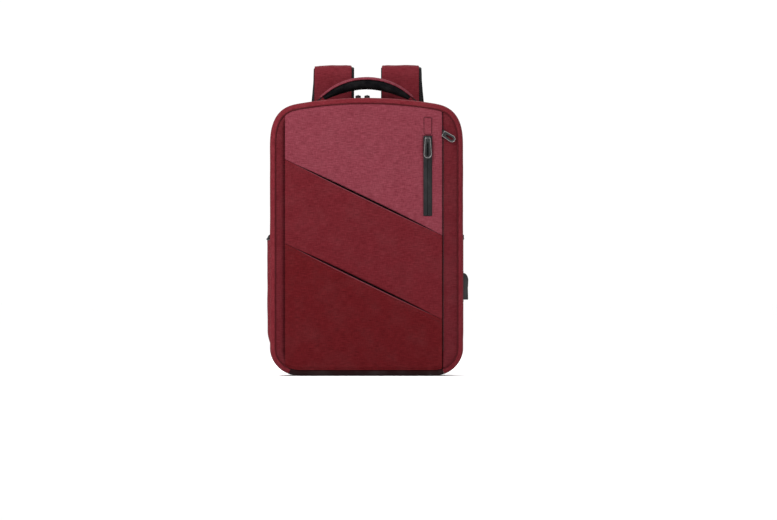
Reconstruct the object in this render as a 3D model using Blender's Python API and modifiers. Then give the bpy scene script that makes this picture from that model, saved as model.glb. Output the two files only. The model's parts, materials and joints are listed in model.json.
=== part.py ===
# Travel backpack: a boxy business backpack with a drop-front main compartment,
# slanted front tucks, two front pocket zips, carry handle and shoulder straps.
# Units are metres, +Z is up, the front faces -Y and the origin is on the base's underside.
import math

import bmesh
import bpy
from mathutils import Matrix, Vector

# ---------------------------------------------------------------- driving dimensions
GAP = 0.0003                    # clearance between sewn or seated pieces
BODY_WIDTH = 0.309
BODY_HEIGHT = 0.445             # to the middle of the arched top
FRONT_DEPTH = 0.065             # front face to the origin plane
BACK_DEPTH = 0.060              # origin plane to the back panel's face
TOP_ARCH_RADIUS = 0.666
TOP_CORNER_WIDTH = 0.050
TOP_CORNER_HEIGHT = 0.065
TOP_CORNER_POWER = 3.0          # fullness of the top corners
BOTTOM_CORNER_WIDTH = 0.048
BOTTOM_CORNER_HEIGHT = 0.044
BASE_WRAP = 22.0                # degrees of bottom corner that the base cloth wraps
CORNER_STEPS = 8

WALL = 0.0025                   # gusset and base cloth with its foam
EDGE_INSET = 0.009              # seam of the front and back panels, in from the outline
EDGE_ROUND = 0.011              # depth over which the wall rounds into that seam
EDGE_STEP = 0.0018              # front panels stand this far proud of the seam
ROUND_STEPS = 4
SEAM_LIP = 0.0010               # flat lip of the wall beside that seam
PIPING_RADIUS = 0.0015
PIPING_CLEARANCE = 0.0002       # the front shell's hinge line is this far outside its seam

ZIP_PLANE = -0.008              # where the rear and front shells meet
ZIP_TAPE_WIDTH = 0.008
ZIP_TAPE_THICKNESS = 0.0010
ZIP_RECESS = 0.0010
SHELL_GAP = 0.0006

PANEL_THICKNESS = 0.0040
BAND_DROP = 0.0016              # side bands lie this far behind the front panels
LEFT_PLEAT_INSET = 0.0235       # each pleat, in from the outline's side
RIGHT_PLEAT_INSET = 0.0314
PLEAT_GAP = 0.0010
PLEAT_SLOT = 0.0034             # open fold that hides the side zip
TUCK_SLOPE = -0.484
TUCK_DROPS = (0.1614, 0.2961)   # each slanted tuck below the top, on the centre line
TUCK_GAP = 0.0012
DIVIDER_Y = -0.040
DIVIDER_THICKNESS = 0.0015
POCKET_FLOOR_RISE = 0.0015      # the front compartment's floor, above the front seam
POCKET_FLOOR_SHARE = 0.6        # of the bottom corner's width that its ends stop short

BACK_PANEL_THICKNESS = 0.012
SLEEVE_MARGIN = 0.0235          # at each side of the laptop sleeve
SLEEVE_TOP = 0.255
SLEEVE_BOTTOM = 0.014
SLEEVE_SPACE = 0.0205           # room for a laptop
SLEEVE_WALL = 0.0015
SLEEVE_FLOOR = 0.0020
STRAP_CLOSURE_RISE = 0.0450     # sewn end of the laptop strap, above the sleeve
STRAP_CLOSURE_WIDTH = 0.030
STRAP_CLOSURE_LIFT = 0.0035     # its pivot stands this far off the back panel
STRAP_CLOSURE_STEP = 0.0060     # height over which it bends towards the sleeve
STRAP_CLOSURE_REACH = 0.0250    # how far it reaches down the sleeve

PAD_INSET = 0.0325              # outer edge of each back pad, in from the outline
PAD_CHANNEL = 0.044             # air channel between the back pads
PAD_THICKNESS = 0.008
PAD_BOTTOM = 0.045
PAD_TOP_GAP = 0.0070            # between a pad and the yoke above it
LUGGAGE_BOTTOM = 0.130
LUGGAGE_TOP = 0.235
LUGGAGE_MARGIN = 0.0195         # at each side of the luggage sleeve
LUGGAGE_CLEARANCE = 0.0050      # room behind the pads for a trolley bar
LUGGAGE_CLOTH = 0.0014
LUGGAGE_TAB = 0.007

YOKE_MARGIN_X = 0.0515          # at each side of the yoke
YOKE_BOTTOM_DROP = 0.053        # below the top of the bag
YOKE_TOP_DROP = 0.015
YOKE_THICKNESS = 0.0028
YOKE_MARGIN = 0.0060            # of the yoke below each strap's sewn end

POCKET_FRONT = 0.0030
POCKET_BACK_INSET = 0.0100      # the pockets end this far in front of the back panel
POCKET_BOTTOM = 0.050
POCKET_TOP = 0.218
POCKET_CLOTH = 0.0010
POCKET_PROUD = 0.0048           # hollow of the left pocket at rest
POCKET_FLAT = 0.0004            # the right pocket lies flat
POCKET_TAPER = 0.0450           # height over which the hollow grows from the bottom seam
BINDING_HEIGHT = 0.0080
BINDING_THICKNESS = 0.0015

FRONT_ZIP_OFFSET = 0.0251       # middle of the front zip, in from the right pleat
FRONT_ZIP_WIDTH = 0.0146
FRONT_ZIP_DROP = 0.0605         # its top, below the top of the bag
FRONT_ZIP_LENGTH = 0.1285
FRONT_ZIP_THICKNESS = 0.0012
PATCH_HEIGHT = 0.0305
PATCH_THICKNESS = 0.0005
PATCH_GAP = 0.0008              # between the zip's top and the patch
SIDE_ZIP_DROP = 0.0450
SIDE_ZIP_BOTTOM = 0.0400
SIDE_ZIP_WIDTH = 0.0100
SIDE_SLIDER_DROP = 0.0570

SLIDER_WIDTH = 0.0090
SLIDER_LENGTH = 0.0120
SLIDER_HEIGHT = 0.0028
SLIDER_LIFT = 0.0008            # clearance over the zip it runs on
SLIDER_STOP = 0.0005            # the closed front slider stops this far below its zip's top
SLIDER_AHEAD = 0.4              # share of a main slider's length in front of the zip's plane
PULL_LENGTH = 0.0320
PULL_TOP_WIDTH = 0.0090
PULL_END_WIDTH = 0.0130
PULL_SLOT = 0.0038              # slot down the middle of a pull
PULL_ROOT = 0.0008              # the pull's root reaches this far past its pivot
PULL_RIM = 0.0032
PULL_THICKNESS = 0.0022
PULL_HINGE_DROP = 0.0040        # the front pull's pivot, below the top of its zip
SIDE_PULL_LENGTH = 0.0215
SIDE_PULL_WIDTH = 0.0114
SIDE_PULL_TILT = -32.0          # degrees from level, as it lies in the fold
MAIN_SLIDER_X = (-0.0136, 0.0008)
MAIN_PULL_LENGTH = 0.0220
MAIN_PULL_ROOT_WIDTH = 0.0072
MAIN_PULL_WIDTH = 0.0090
MAIN_PULL_SLOT = 0.0030

HOOD_PROUD = 0.0088
HOOD_WIDTH = 0.0180
HOOD_BOTTOM = 0.1220
HOOD_TOP = 0.1650
HOOD_ROUND = 0.0110
HOOD_SETBACK = 0.0300           # middle of the hood, behind the front face
SOCKET_WIDTH = 0.0131           # standard charging socket, outside its metal shell
SOCKET_THICKNESS = 0.0057
SOCKET_DEPTH = 0.0140
SOCKET_SHEET = 0.0004

HANDLE_Y = 0.0265
HANDLE_RADIUS = 0.1020          # outer face of the arched handle
HANDLE_RISE = 0.0330            # of the arch above the top of the bag
HANDLE_WIDTH = 0.0250
HANDLE_END_WIDTH = 0.0090       # the handle narrows to its sewn ends
HANDLE_SKIN = 0.0045
HANDLE_GRIP = 0.0128
HANDLE_GRIP_MARGIN = 0.0015     # the skin overhangs the padding by this much
HANDLE_FOOT_ANGLE = 38.0        # degrees from level where the arch is drawn to
HANDLE_FOOT_RISE = 0.0032       # the handle's ends are trimmed level this far above the top
HANDLE_STEPS = 18
HANDLE_TAB_RISE = 0.0013        # top of the webbing tab under each end
HANDLE_TAB_LENGTH = 0.0160
HANDLE_TAB_WIDTH = 0.0046

STRAP_X = 0.0580                # middle of a shoulder strap at its top
STRAP_WIDTH = 0.0600
STRAP_END_WIDTH = 0.0440
STRAP_PAD_EXTRA = 0.0050        # the mesh pad is this much wider than its cloth
STRAP_SKIN = 0.0025
STRAP_PAD = 0.0080
STRAP_ROOT_SETBACK = 0.0060     # behind the back panel
STRAP_ROOT_RISE = 0.0232        # above the top of the bag
STRAP_PIVOT_STEP = 0.0060       # the strap turns this far above and behind its sewn end
STRAP_STEPS = 3
# Course of the right strap's outer face from the sewn end to the ladder lock: x from the
# middle, y behind the back panel, z from the top of the bag.
STRAP_COURSE = ((0.0580, 0.0040, 0.0262), (0.0580, 0.0065, 0.0400), (0.0580, 0.0160, 0.0510),
                (0.0582, 0.0300, 0.0525), (0.0590, 0.0430, 0.0430), (0.0610, 0.0520, 0.0230),
                (0.0660, 0.0580, -0.0250), (0.0740, 0.0590, -0.0850), (0.0840, 0.0560, -0.1450),
                (0.0940, 0.0500, -0.2050), (0.1010, 0.0440, -0.2500))
LOCK_WIDTH = 0.0360
LOCK_HEIGHT = 0.0260
LOCK_THICKNESS = 0.0050
LOCK_BAR = 0.0040
LOCK_DROP = 0.0045              # below the end of the strap's pad
WEBBING_WIDTH = 0.0250
WEBBING_THICKNESS = 0.0018
WEBBING_TAIL = 0.0700
WEBBING_BOW = 0.0060            # slack of the lower webbing, and the tail's start behind it
WEBBING_SWAY = (0.0040, 0.0100) # how far the free tail hangs outwards and backwards
WEBBING_GAP = 0.0014            # from each end's nearest corner to the ladder lock and anchor
ANCHOR_INSET = 0.0365           # lower strap anchor, in from the outline's side
ANCHOR_SETBACK = 0.0160         # behind the back panel
ANCHOR_Z = 0.0450
ANCHOR_TAB_HEIGHT = 0.0300
ANCHOR_TAB_HALF = 0.0140        # half its width
ANCHOR_TAB_PROUD = 0.0020       # it stands this far behind the webbing's middle
ANCHOR_TAB_DROP = 0.0010        # its top, below the strap's lower pivot

# ---------------------------------------------------------------- derived places
FRONT_Y = -FRONT_DEPTH
BACK_Y = BACK_DEPTH
HALF_WIDTH = BODY_WIDTH / 2
LEFT_PLEAT = LEFT_PLEAT_INSET - HALF_WIDTH
RIGHT_PLEAT = HALF_WIDTH - RIGHT_PLEAT_INSET
TUCK_HEIGHTS = [BODY_HEIGHT - drop for drop in TUCK_DROPS]
POCKET_FLOOR_Z = EDGE_INSET + POCKET_FLOOR_RISE
SLEEVE_WIDTH = BODY_WIDTH - 2 * SLEEVE_MARGIN
STRAP_CLOSURE_Z = SLEEVE_TOP + STRAP_CLOSURE_RISE
PAD_WIDTH = HALF_WIDTH - PAD_INSET - PAD_CHANNEL / 2
LUGGAGE_WIDTH = BODY_WIDTH - 2 * LUGGAGE_MARGIN
YOKE_WIDTH = BODY_WIDTH - 2 * YOKE_MARGIN_X
YOKE_BOTTOM = BODY_HEIGHT - YOKE_BOTTOM_DROP
YOKE_TOP = BODY_HEIGHT - YOKE_TOP_DROP
PAD_TOP = YOKE_BOTTOM - PAD_TOP_GAP
POCKET_BACK = BACK_DEPTH - POCKET_BACK_INSET
FRONT_ZIP_X = RIGHT_PLEAT - FRONT_ZIP_OFFSET
FRONT_ZIP_TOP = BODY_HEIGHT - FRONT_ZIP_DROP
FRONT_ZIP_BOTTOM = FRONT_ZIP_TOP - FRONT_ZIP_LENGTH
PATCH_TOP = FRONT_ZIP_TOP + PATCH_HEIGHT
SIDE_ZIP_TOP = BODY_HEIGHT - SIDE_ZIP_DROP
SIDE_SLIDER_Z = BODY_HEIGHT - SIDE_SLIDER_DROP
HOOD_Y = HOOD_SETBACK - FRONT_DEPTH
HANDLE_APEX = BODY_HEIGHT + HANDLE_RISE
HANDLE_FOOT_Z = BODY_HEIGHT + HANDLE_FOOT_RISE
HANDLE_TAB_Z = BODY_HEIGHT + HANDLE_TAB_RISE
STRAP_ROOT_Y = BACK_DEPTH + STRAP_ROOT_SETBACK
STRAP_ROOT_TOP = BODY_HEIGHT + STRAP_ROOT_RISE
ANCHOR_X = HALF_WIDTH - ANCHOR_INSET
ANCHOR_Y = BACK_DEPTH + ANCHOR_SETBACK
SEAM_Y = FRONT_Y + EDGE_STEP
REAR_SEAM_Y = BACK_Y - GAP
PANEL_BACK_Y = FRONT_Y + PANEL_THICKNESS
INNER_BACK_Y = BACK_Y - BACK_PANEL_THICKNESS
PAD_Y = BACK_Y + GAP
HINGE_Y = SEAM_Y - GAP
HINGE_Z = EDGE_INSET - PIPING_CLEARANCE
ARCH_CENTRE_Z = BODY_HEIGHT - TOP_ARCH_RADIUS
HANDLE_CENTRE_Z = HANDLE_APEX - HANDLE_RADIUS
MAIN_SLIDER_Z = BODY_HEIGHT - ZIP_RECESS + SLIDER_LIFT
MAIN_PULL_Z = MAIN_SLIDER_Z + SLIDER_HEIGHT + GAP + PULL_THICKNESS / 2
SLIDER_FACE_Y = FRONT_Y - SLIDER_LIFT
POCKET_PULL_Y = SLIDER_FACE_Y - SLIDER_HEIGHT - GAP - PULL_THICKNESS / 2
POCKET_PULL_Z = FRONT_ZIP_TOP - PULL_HINGE_DROP
LAPTOP_STRAP_Y = INNER_BACK_Y - STRAP_CLOSURE_LIFT
STRAP_TOP_PIVOT = Vector((STRAP_X, STRAP_ROOT_Y + STRAP_PIVOT_STEP, STRAP_ROOT_TOP + STRAP_PIVOT_STEP))
STRAP_LOW_PIVOT = Vector((ANCHOR_X, ANCHOR_Y, ANCHOR_Z))

# Joint axes pass through these points; each moving body hangs on an empty there.
PIVOTS = {
    "front_shell": (0.0, HINGE_Y, HINGE_Z),
    "main_slider_left": (0.0, ZIP_PLANE, ARCH_CENTRE_Z),
    "main_slider_right": (0.0, ZIP_PLANE, ARCH_CENTRE_Z),
    "main_pull_left": (MAIN_SLIDER_X[0], ZIP_PLANE, MAIN_PULL_Z),
    "main_pull_right": (MAIN_SLIDER_X[1], ZIP_PLANE, MAIN_PULL_Z),
    "pocket_slider": (FRONT_ZIP_X, SLIDER_FACE_Y, FRONT_ZIP_TOP - SLIDER_LENGTH / 2),
    "pocket_pull": (FRONT_ZIP_X, POCKET_PULL_Y, POCKET_PULL_Z),
    "side_slider": (RIGHT_PLEAT, FRONT_Y, SIDE_SLIDER_Z),
    "side_pull": (RIGHT_PLEAT, SLIDER_FACE_Y, SIDE_SLIDER_Z),
    "laptop_strap": (0.0, LAPTOP_STRAP_Y, STRAP_CLOSURE_Z),
    "carry_handle": (0.0, HANDLE_Y, BODY_HEIGHT),
    "strap_right": tuple(STRAP_TOP_PIVOT),
    "strap_left": (-STRAP_TOP_PIVOT.x, STRAP_TOP_PIVOT.y, STRAP_TOP_PIVOT.z),
}

# colour (sRGB), roughness, metallic
FINISHES = {
    "wine cloth top": ((0.57, 0.26, 0.31), 0.85, 0.0),
    "wine cloth middle": ((0.45, 0.16, 0.18), 0.85, 0.0),
    "wine cloth bottom": ((0.40, 0.13, 0.15), 0.85, 0.0),
    "wine cloth side": ((0.42, 0.17, 0.20), 0.85, 0.0),
    "black cloth": ((0.05, 0.05, 0.055), 0.9, 0.0),
    "black mesh": ((0.06, 0.05, 0.055), 0.95, 0.0),
    "grey lining": ((0.22, 0.22, 0.24), 0.8, 0.0),
    "coated zip": ((0.17, 0.17, 0.19), 0.45, 0.0),
    "black plastic": ((0.06, 0.06, 0.065), 0.4, 0.0),
    "gunmetal": ((0.55, 0.55, 0.57), 0.3, 1.0),
    "socket metal": ((0.72, 0.72, 0.74), 0.25, 1.0),
}


# ---------------------------------------------------------------- scene helpers
def clear_scene():
    for item in list(bpy.data.objects):
        bpy.data.objects.remove(item, do_unlink=True)


def new_collection(name):
    collection = bpy.data.collections.new(name)
    bpy.context.scene.collection.children.link(collection)
    return collection


def linear(channel):
    return channel / 12.92 if channel <= 0.04045 else ((channel + 0.055) / 1.055) ** 2.4


def make_material(name):
    colour, roughness, metallic = FINISHES[name]
    material = bpy.data.materials.new(name)
    material.use_nodes = True
    shader = material.node_tree.nodes["Principled BSDF"]
    shader.inputs["Base Color"].default_value = (*[linear(c) for c in colour], 1.0)
    shader.inputs["Roughness"].default_value = roughness
    shader.inputs["Metallic"].default_value = metallic
    return material


def add_piece(name, bm, finish, body=None, smooth=30.0):
    """Turn a bmesh in world metres into the named piece, on its body's pivot."""
    mesh = bpy.data.meshes.new(name)
    bm.to_mesh(mesh)
    bm.free()
    piece = bpy.data.objects.new(name, mesh)
    parts.objects.link(piece)
    mesh.materials.append(materials[finish])
    mesh.shade_smooth()
    mesh.set_sharp_from_angle(angle=math.radians(smooth))
    if body:
        mesh.transform(Matrix.Translation(-Vector(PIVOTS[body])))
        piece.parent = pivots[body]
    return piece


def thicken(piece, thickness):
    solid = piece.modifiers.new("Wall", "SOLIDIFY")
    solid.thickness = thickness
    solid.offset = -1.0
    solid.use_even_offset = True
    return piece


def soften(piece, width, segments=2):
    bevel = piece.modifiers.new("Edges", "BEVEL")
    bevel.width = width
    bevel.segments = segments
    bevel.limit_method = "ANGLE"
    bevel.angle_limit = math.radians(40)
    return piece


def cut(piece, cutter):
    """Cut a piece with a guide solid that is kept, wired, in the cutters' collection."""
    if cutter.name in parts.objects:
        parts.objects.unlink(cutter)
        cutters.objects.link(cutter)
    cutter.hide_render = True
    cutter.display_type = "WIRE"
    boolean = piece.modifiers.new("Cut", "BOOLEAN")
    boolean.object = cutter
    boolean.solver = "EXACT"
    return piece


# ---------------------------------------------------------------- shape helpers
def sheet(name, rows, thickness, finish, body=None):
    """A grid shaped by rows of points, thickened away from its outer face."""
    bm = bmesh.new()
    bmesh.ops.create_grid(bm, x_segments=len(rows[0]) - 1, y_segments=len(rows) - 1, size=1.0)
    bm.verts.ensure_lookup_table()
    for index, point in enumerate(point for row in rows for point in row):
        bm.verts[index].co = point
    return thicken(add_piece(name, bm, finish, body), thickness)


def block(name, low, high, finish, body=None, edge=0.0):
    """A box between two corners, with softened edges."""
    low, high = Vector(low), Vector(high)
    bm = bmesh.new()
    bmesh.ops.create_cube(bm, size=1.0)
    bmesh.ops.scale(bm, vec=high - low, verts=bm.verts)
    bmesh.ops.translate(bm, vec=(low + high) / 2, verts=bm.verts)
    piece = add_piece(name, bm, finish, body)
    return soften(piece, edge) if edge else piece


def slab(name, loop, front, back, finish, body=None, cuts=()):
    """A flat outline in XZ, trimmed by planes, then given its depth in Y."""
    bm = bmesh.new()
    bm.faces.new([bm.verts.new((x, front, z)) for x, z in loop])
    for point, normal in cuts:
        geometry = bm.verts[:] + bm.edges[:] + bm.faces[:]
        bmesh.ops.bisect_plane(bm, geom=geometry, dist=1e-6, plane_co=point,
                               plane_no=normal, clear_outer=True)
    grown = bmesh.ops.extrude_face_region(bm, geom=bm.faces[:])
    bmesh.ops.translate(bm, vec=(0, back - front, 0),
                        verts=[v for v in grown["geom"] if isinstance(v, bmesh.types.BMVert)])
    bmesh.ops.recalc_face_normals(bm, faces=bm.faces)
    return add_piece(name, bm, finish, body)


def plate(name, loops, thickness, matrix, finish, body=None):
    """A flat plate with holes, from a filled 2D curve, placed by a matrix."""
    curve = bpy.data.curves.new(name, "CURVE")
    curve.dimensions = "2D"
    curve.fill_mode = "BOTH"
    curve.extrude = thickness / 2
    for loop in loops:
        spline = curve.splines.new("POLY")
        spline.points.add(len(loop) - 1)
        for point, (x, y) in zip(spline.points, loop):
            point.co = (x, y, 0.0, 1.0)
        spline.use_cyclic_u = True
    holder = bpy.data.objects.new(name, curve)
    parts.objects.link(holder)
    bpy.context.view_layer.update()
    mesh = bpy.data.meshes.new_from_object(holder.evaluated_get(bpy.context.evaluated_depsgraph_get()))
    bpy.data.objects.remove(holder, do_unlink=True)
    bm = bmesh.new()
    bm.from_mesh(mesh)
    bmesh.ops.remove_doubles(bm, verts=bm.verts, dist=1e-6)
    bmesh.ops.transform(bm, matrix=matrix, verts=bm.verts)
    bmesh.ops.recalc_face_normals(bm, faces=bm.faces)
    bpy.data.meshes.remove(mesh)
    return add_piece(name, bm, finish, body)


def smooth_course(points, steps):
    """Points of a smooth curve through a strap's own points."""
    points = [Vector(p) for p in points]
    ends = [2 * points[0] - points[1]] + points + [2 * points[-1] - points[-2]]
    course = []
    for a, b, c, d in zip(ends, ends[1:], ends[2:], ends[3:]):
        for step in range(steps):
            t = step / steps
            course.append(0.5 * (2 * b + (c - a) * t + (2 * a - 5 * b + 4 * c - d) * t * t
                                 + (3 * b - a - 3 * c + d) * t ** 3))
    return course + [points[-1]]


def ribbon_rows(course, widths, drop=0.0):
    """Rows across a strap that lies along a course, dropped below its outer face."""
    rows = []
    for index, point in enumerate(course):
        ahead = course[min(index + 1, len(course) - 1)]
        behind = course[max(index - 1, 0)]
        along = (ahead - behind).normalized()
        across = Vector((1, 0, 0)) - along * along.x
        across.normalize()
        outward = across.cross(along)
        half = across * widths[index] / 2
        middle = point - outward * drop
        rows.append([middle - half, middle, middle + half])
    return rows


def mirrored(rows):
    return [[Vector((-p[0], p[1], p[2])) for p in reversed(row)] for row in rows]


# ---------------------------------------------------------------- body outline
def top_height(x):
    return ARCH_CENTRE_Z + math.sqrt(TOP_ARCH_RADIUS ** 2 - x * x)


def signed_power(value, power):
    return math.copysign(abs(value) ** power, value)


def bottom_corner(degrees):
    """Right bottom corner, -90 at the flat base to 0 at the side."""
    angle = math.radians(degrees)
    return (HALF_WIDTH - BOTTOM_CORNER_WIDTH * (1 - math.cos(angle)),
            BOTTOM_CORNER_HEIGHT * (1 + math.sin(angle)))


def top_corner(degrees):
    """Right top corner, 0 at the side to 90 at the arched top."""
    angle = math.radians(degrees)
    start = HALF_WIDTH - TOP_CORNER_WIDTH
    x = start + TOP_CORNER_WIDTH * signed_power(math.cos(angle), 2 / TOP_CORNER_POWER)
    rise = TOP_CORNER_HEIGHT * signed_power(math.sin(angle), 2 / TOP_CORNER_POWER)
    return x, top_height(x) - TOP_CORNER_HEIGHT + rise


def stations(curve, start, end, steps):
    """Points of the outline with their outward normals."""
    result = []
    sense = math.copysign(1.0, end - start)
    nudge = abs(end - start) * 1e-4
    for step in range(steps + 1):
        at = start + (end - start) * step / steps
        before = curve(at - sense * nudge if step else at)
        after = curve(at + sense * nudge if step < steps else at)
        run = Vector((after[0] - before[0], after[1] - before[1])).normalized()
        result.append((curve(at), (run.y, -run.x)))
    return result


def mirror_stations(path):
    return [((-p[0], p[1]), (-n[0], n[1])) for p, n in reversed(path)]


BASE_END = -90.0 + BASE_WRAP
SPLIT = math.degrees(SHELL_GAP / BOTTOM_CORNER_WIDTH)


def wall_path():
    """Outline from the base cloth's right end, over the top, to its left end."""
    side_low = BOTTOM_CORNER_HEIGHT
    side_high = top_corner(0.0)[1]
    right = stations(bottom_corner, BASE_END + SPLIT / 2, 0.0, CORNER_STEPS - 1)
    right += stations(lambda z: (HALF_WIDTH, z), side_low, side_high, 5)[1:-1]
    right += stations(top_corner, 0.0, 90.0, CORNER_STEPS + 1)
    edge = HALF_WIDTH - TOP_CORNER_WIDTH
    middle = stations(lambda x: (x, top_height(x)), edge, -edge, 12)[1:-1]
    return right + middle + mirror_stations(right)


def base_path():
    """Outline along the base cloth, from its left end to its right end."""
    right = stations(bottom_corner, -90.0, BASE_END - SPLIT / 2, 3)
    edge = HALF_WIDTH - BOTTOM_CORNER_WIDTH
    flat = stations(lambda x: (x, 0.0), -edge, edge, 4)
    return mirror_stations(right)[:-1] + flat + right[1:]


def inset_row(path, inset, y):
    return [Vector((p[0] - n[0] * inset, y, p[1] - n[1] * inset)) for p, n in path]


def inset_loop(inset):
    return [(p[0] - n[0] * inset, p[1] - n[1] * inset) for p, n in base_path() + wall_path()]


def rounded_profile(flat_y, seam_y):
    """Quarter-round from the wall's face to a flat lip at the seam of a panel."""
    profile = []
    reach = EDGE_INSET - GAP
    for step in range(ROUND_STEPS + 1):
        angle = math.radians(90 * step / ROUND_STEPS)
        profile.append(((reach - SEAM_LIP) * (1 - math.cos(angle)),
                        flat_y + (seam_y - flat_y) * math.sin(angle)))
    return profile + [(reach, seam_y)]


FRONT_ROUND = rounded_profile(FRONT_Y + EDGE_ROUND, SEAM_Y)
REAR_ROUND = rounded_profile(BACK_Y - EDGE_ROUND + 2 * GAP, REAR_SEAM_Y)


# ---------------------------------------------------------------- rear shell
def build_rear_shell():
    wall = wall_path()
    base = base_path()
    rear = list(reversed(REAR_ROUND))
    rear_start = ZIP_PLANE + ZIP_TAPE_WIDTH + GAP
    profile = rear + [(0.0, rear_start)]
    sheet("rear_gusset", [inset_row(wall, i, y) for i, y in profile], WALL, "wine cloth side")
    base_profile = rear + FRONT_ROUND
    sheet("base_panel", [inset_row(base, i, y) for i, y in base_profile], WALL, "black cloth")
    tape = [(ZIP_RECESS, rear_start - GAP), (ZIP_RECESS, ZIP_PLANE + SHELL_GAP / 2)]
    sheet("rear_zip_tape", [inset_row(wall, i, y) for i, y in tape], ZIP_TAPE_THICKNESS, "black cloth")
    slab("back_panel", inset_loop(EDGE_INSET), INNER_BACK_Y, BACK_Y, "black cloth")

    sleeve_back = INNER_BACK_Y - GAP
    sleeve_front = sleeve_back - SLEEVE_SPACE - SLEEVE_WALL
    half = SLEEVE_WIDTH / 2
    sleeve = block("laptop_sleeve", (-half, sleeve_front, SLEEVE_BOTTOM),
                   (half, sleeve_back, SLEEVE_TOP), "grey lining")
    cut(sleeve, block("laptop_space",
                      (SLEEVE_WALL - half, sleeve_front + SLEEVE_WALL, SLEEVE_BOTTOM + SLEEVE_FLOOR),
                      (half - SLEEVE_WALL, BACK_Y, SLEEVE_TOP + WALL), "grey lining"))

    for side, sign in (("left", -1), ("right", 1)):
        inner = sign * PAD_CHANNEL / 2
        outer = inner + sign * PAD_WIDTH
        block(f"back_pad_{side}", (min(inner, outer), PAD_Y, PAD_BOTTOM),
              (max(inner, outer), PAD_Y + PAD_THICKNESS, PAD_TOP), "black mesh", edge=0.003)

    clear = PAD_Y + PAD_THICKNESS + LUGGAGE_CLEARANCE
    edge = LUGGAGE_WIDTH / 2
    tab = edge - LUGGAGE_TAB
    course = ((-edge, PAD_Y + LUGGAGE_CLOTH), (-tab, PAD_Y + LUGGAGE_CLOTH),
              (-tab + WALL, clear + LUGGAGE_CLOTH), (tab - WALL, clear + LUGGAGE_CLOTH),
              (tab, PAD_Y + LUGGAGE_CLOTH), (edge, PAD_Y + LUGGAGE_CLOTH))
    levels = (LUGGAGE_BOTTOM, LUGGAGE_TOP)
    sheet("luggage_sleeve", [[Vector((-x, y, z)) for x, y in course] for z in levels],
          LUGGAGE_CLOTH, "black cloth")

    yoke = YOKE_WIDTH / 2
    block("strap_yoke", (-yoke, PAD_Y, YOKE_BOTTOM), (yoke, PAD_Y + YOKE_THICKNESS, YOKE_TOP),
          "black cloth", edge=0.001)
    for side, sign in (("left", -1), ("right", 1)):
        middle = sign * STRAP_X
        low = (middle - STRAP_WIDTH / 2, PAD_Y + YOKE_THICKNESS + GAP, YOKE_BOTTOM + YOKE_MARGIN)
        high = (middle + STRAP_WIDTH / 2, STRAP_ROOT_Y + STRAP_SKIN + STRAP_PAD, STRAP_ROOT_TOP)
        block(f"strap_root_{side}", low, high, "wine cloth side", edge=0.002)
        tab_x = sign * ANCHOR_X
        block(f"anchor_tab_{side}", (tab_x - ANCHOR_TAB_HALF, PAD_Y, ANCHOR_Z - ANCHOR_TAB_HEIGHT),
              (tab_x + ANCHOR_TAB_HALF, ANCHOR_Y + ANCHOR_TAB_PROUD, ANCHOR_Z - ANCHOR_TAB_DROP),
              "wine cloth side", edge=0.002)
        foot_rise = HANDLE_FOOT_Z - HANDLE_CENTRE_Z
        foot_x = sign * (math.sqrt(HANDLE_RADIUS ** 2 - foot_rise ** 2) - HANDLE_TAB_LENGTH / 2)
        reach = HANDLE_TAB_LENGTH / 2
        tab_foot = top_height(abs(foot_x) - reach) + GAP / 2
        block(f"handle_tab_{side}",
              (foot_x - reach, HANDLE_Y - HANDLE_TAB_WIDTH / 2, tab_foot),
              (foot_x + reach, HANDLE_Y + HANDLE_TAB_WIDTH / 2, HANDLE_TAB_Z), "black cloth")


def side_pocket(side, sign, proud):
    """A cloth pocket on the gusset, with its elastic binding round the mouth."""
    across = (0.0, 0.06, 0.16, 0.5, 0.84, 0.94, 1.0)   # shares of the depth, front to back

    def plan(z, cloth):
        rise = min(1.0, (z - POCKET_BOTTOM) / POCKET_TAPER)
        swell = proud * rise * rise * (3 - 2 * rise)
        row = []
        for share in across:
            y = POCKET_FRONT + (POCKET_BACK - POCKET_FRONT) * share
            hollow = swell * (1 - abs(2 * share - 1) ** 5)
            row.append(Vector((sign * (HALF_WIDTH + GAP + cloth + hollow), y, z)))
        return row if sign > 0 else list(reversed(row))

    def levels(low, high, count):
        return [low + (high - low) * step / count for step in range(count + 1)]

    wall = [plan(z, POCKET_CLOTH) for z in levels(POCKET_BOTTOM, POCKET_TOP, 6)]
    sheet(f"side_pocket_{side}", wall, POCKET_CLOTH, "wine cloth bottom")
    mouth = POCKET_TOP + GAP
    binding = [plan(z, BINDING_THICKNESS) for z in levels(mouth, mouth + BINDING_HEIGHT, 1)]
    sheet(f"pocket_binding_{side}", binding, BINDING_THICKNESS, "black cloth")


# ---------------------------------------------------------------- front shell
def tuck_plane(height, keep_above):
    """Plane along a slanted tuck, half a gap off its line; what lies beyond the normal goes."""
    normal = Vector((-TUCK_SLOPE, 0.0, 1.0)).normalized()
    sign = -1 if keep_above else 1
    return Vector((0, 0, height)) - normal * sign * TUCK_GAP / 2, normal * sign


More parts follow.
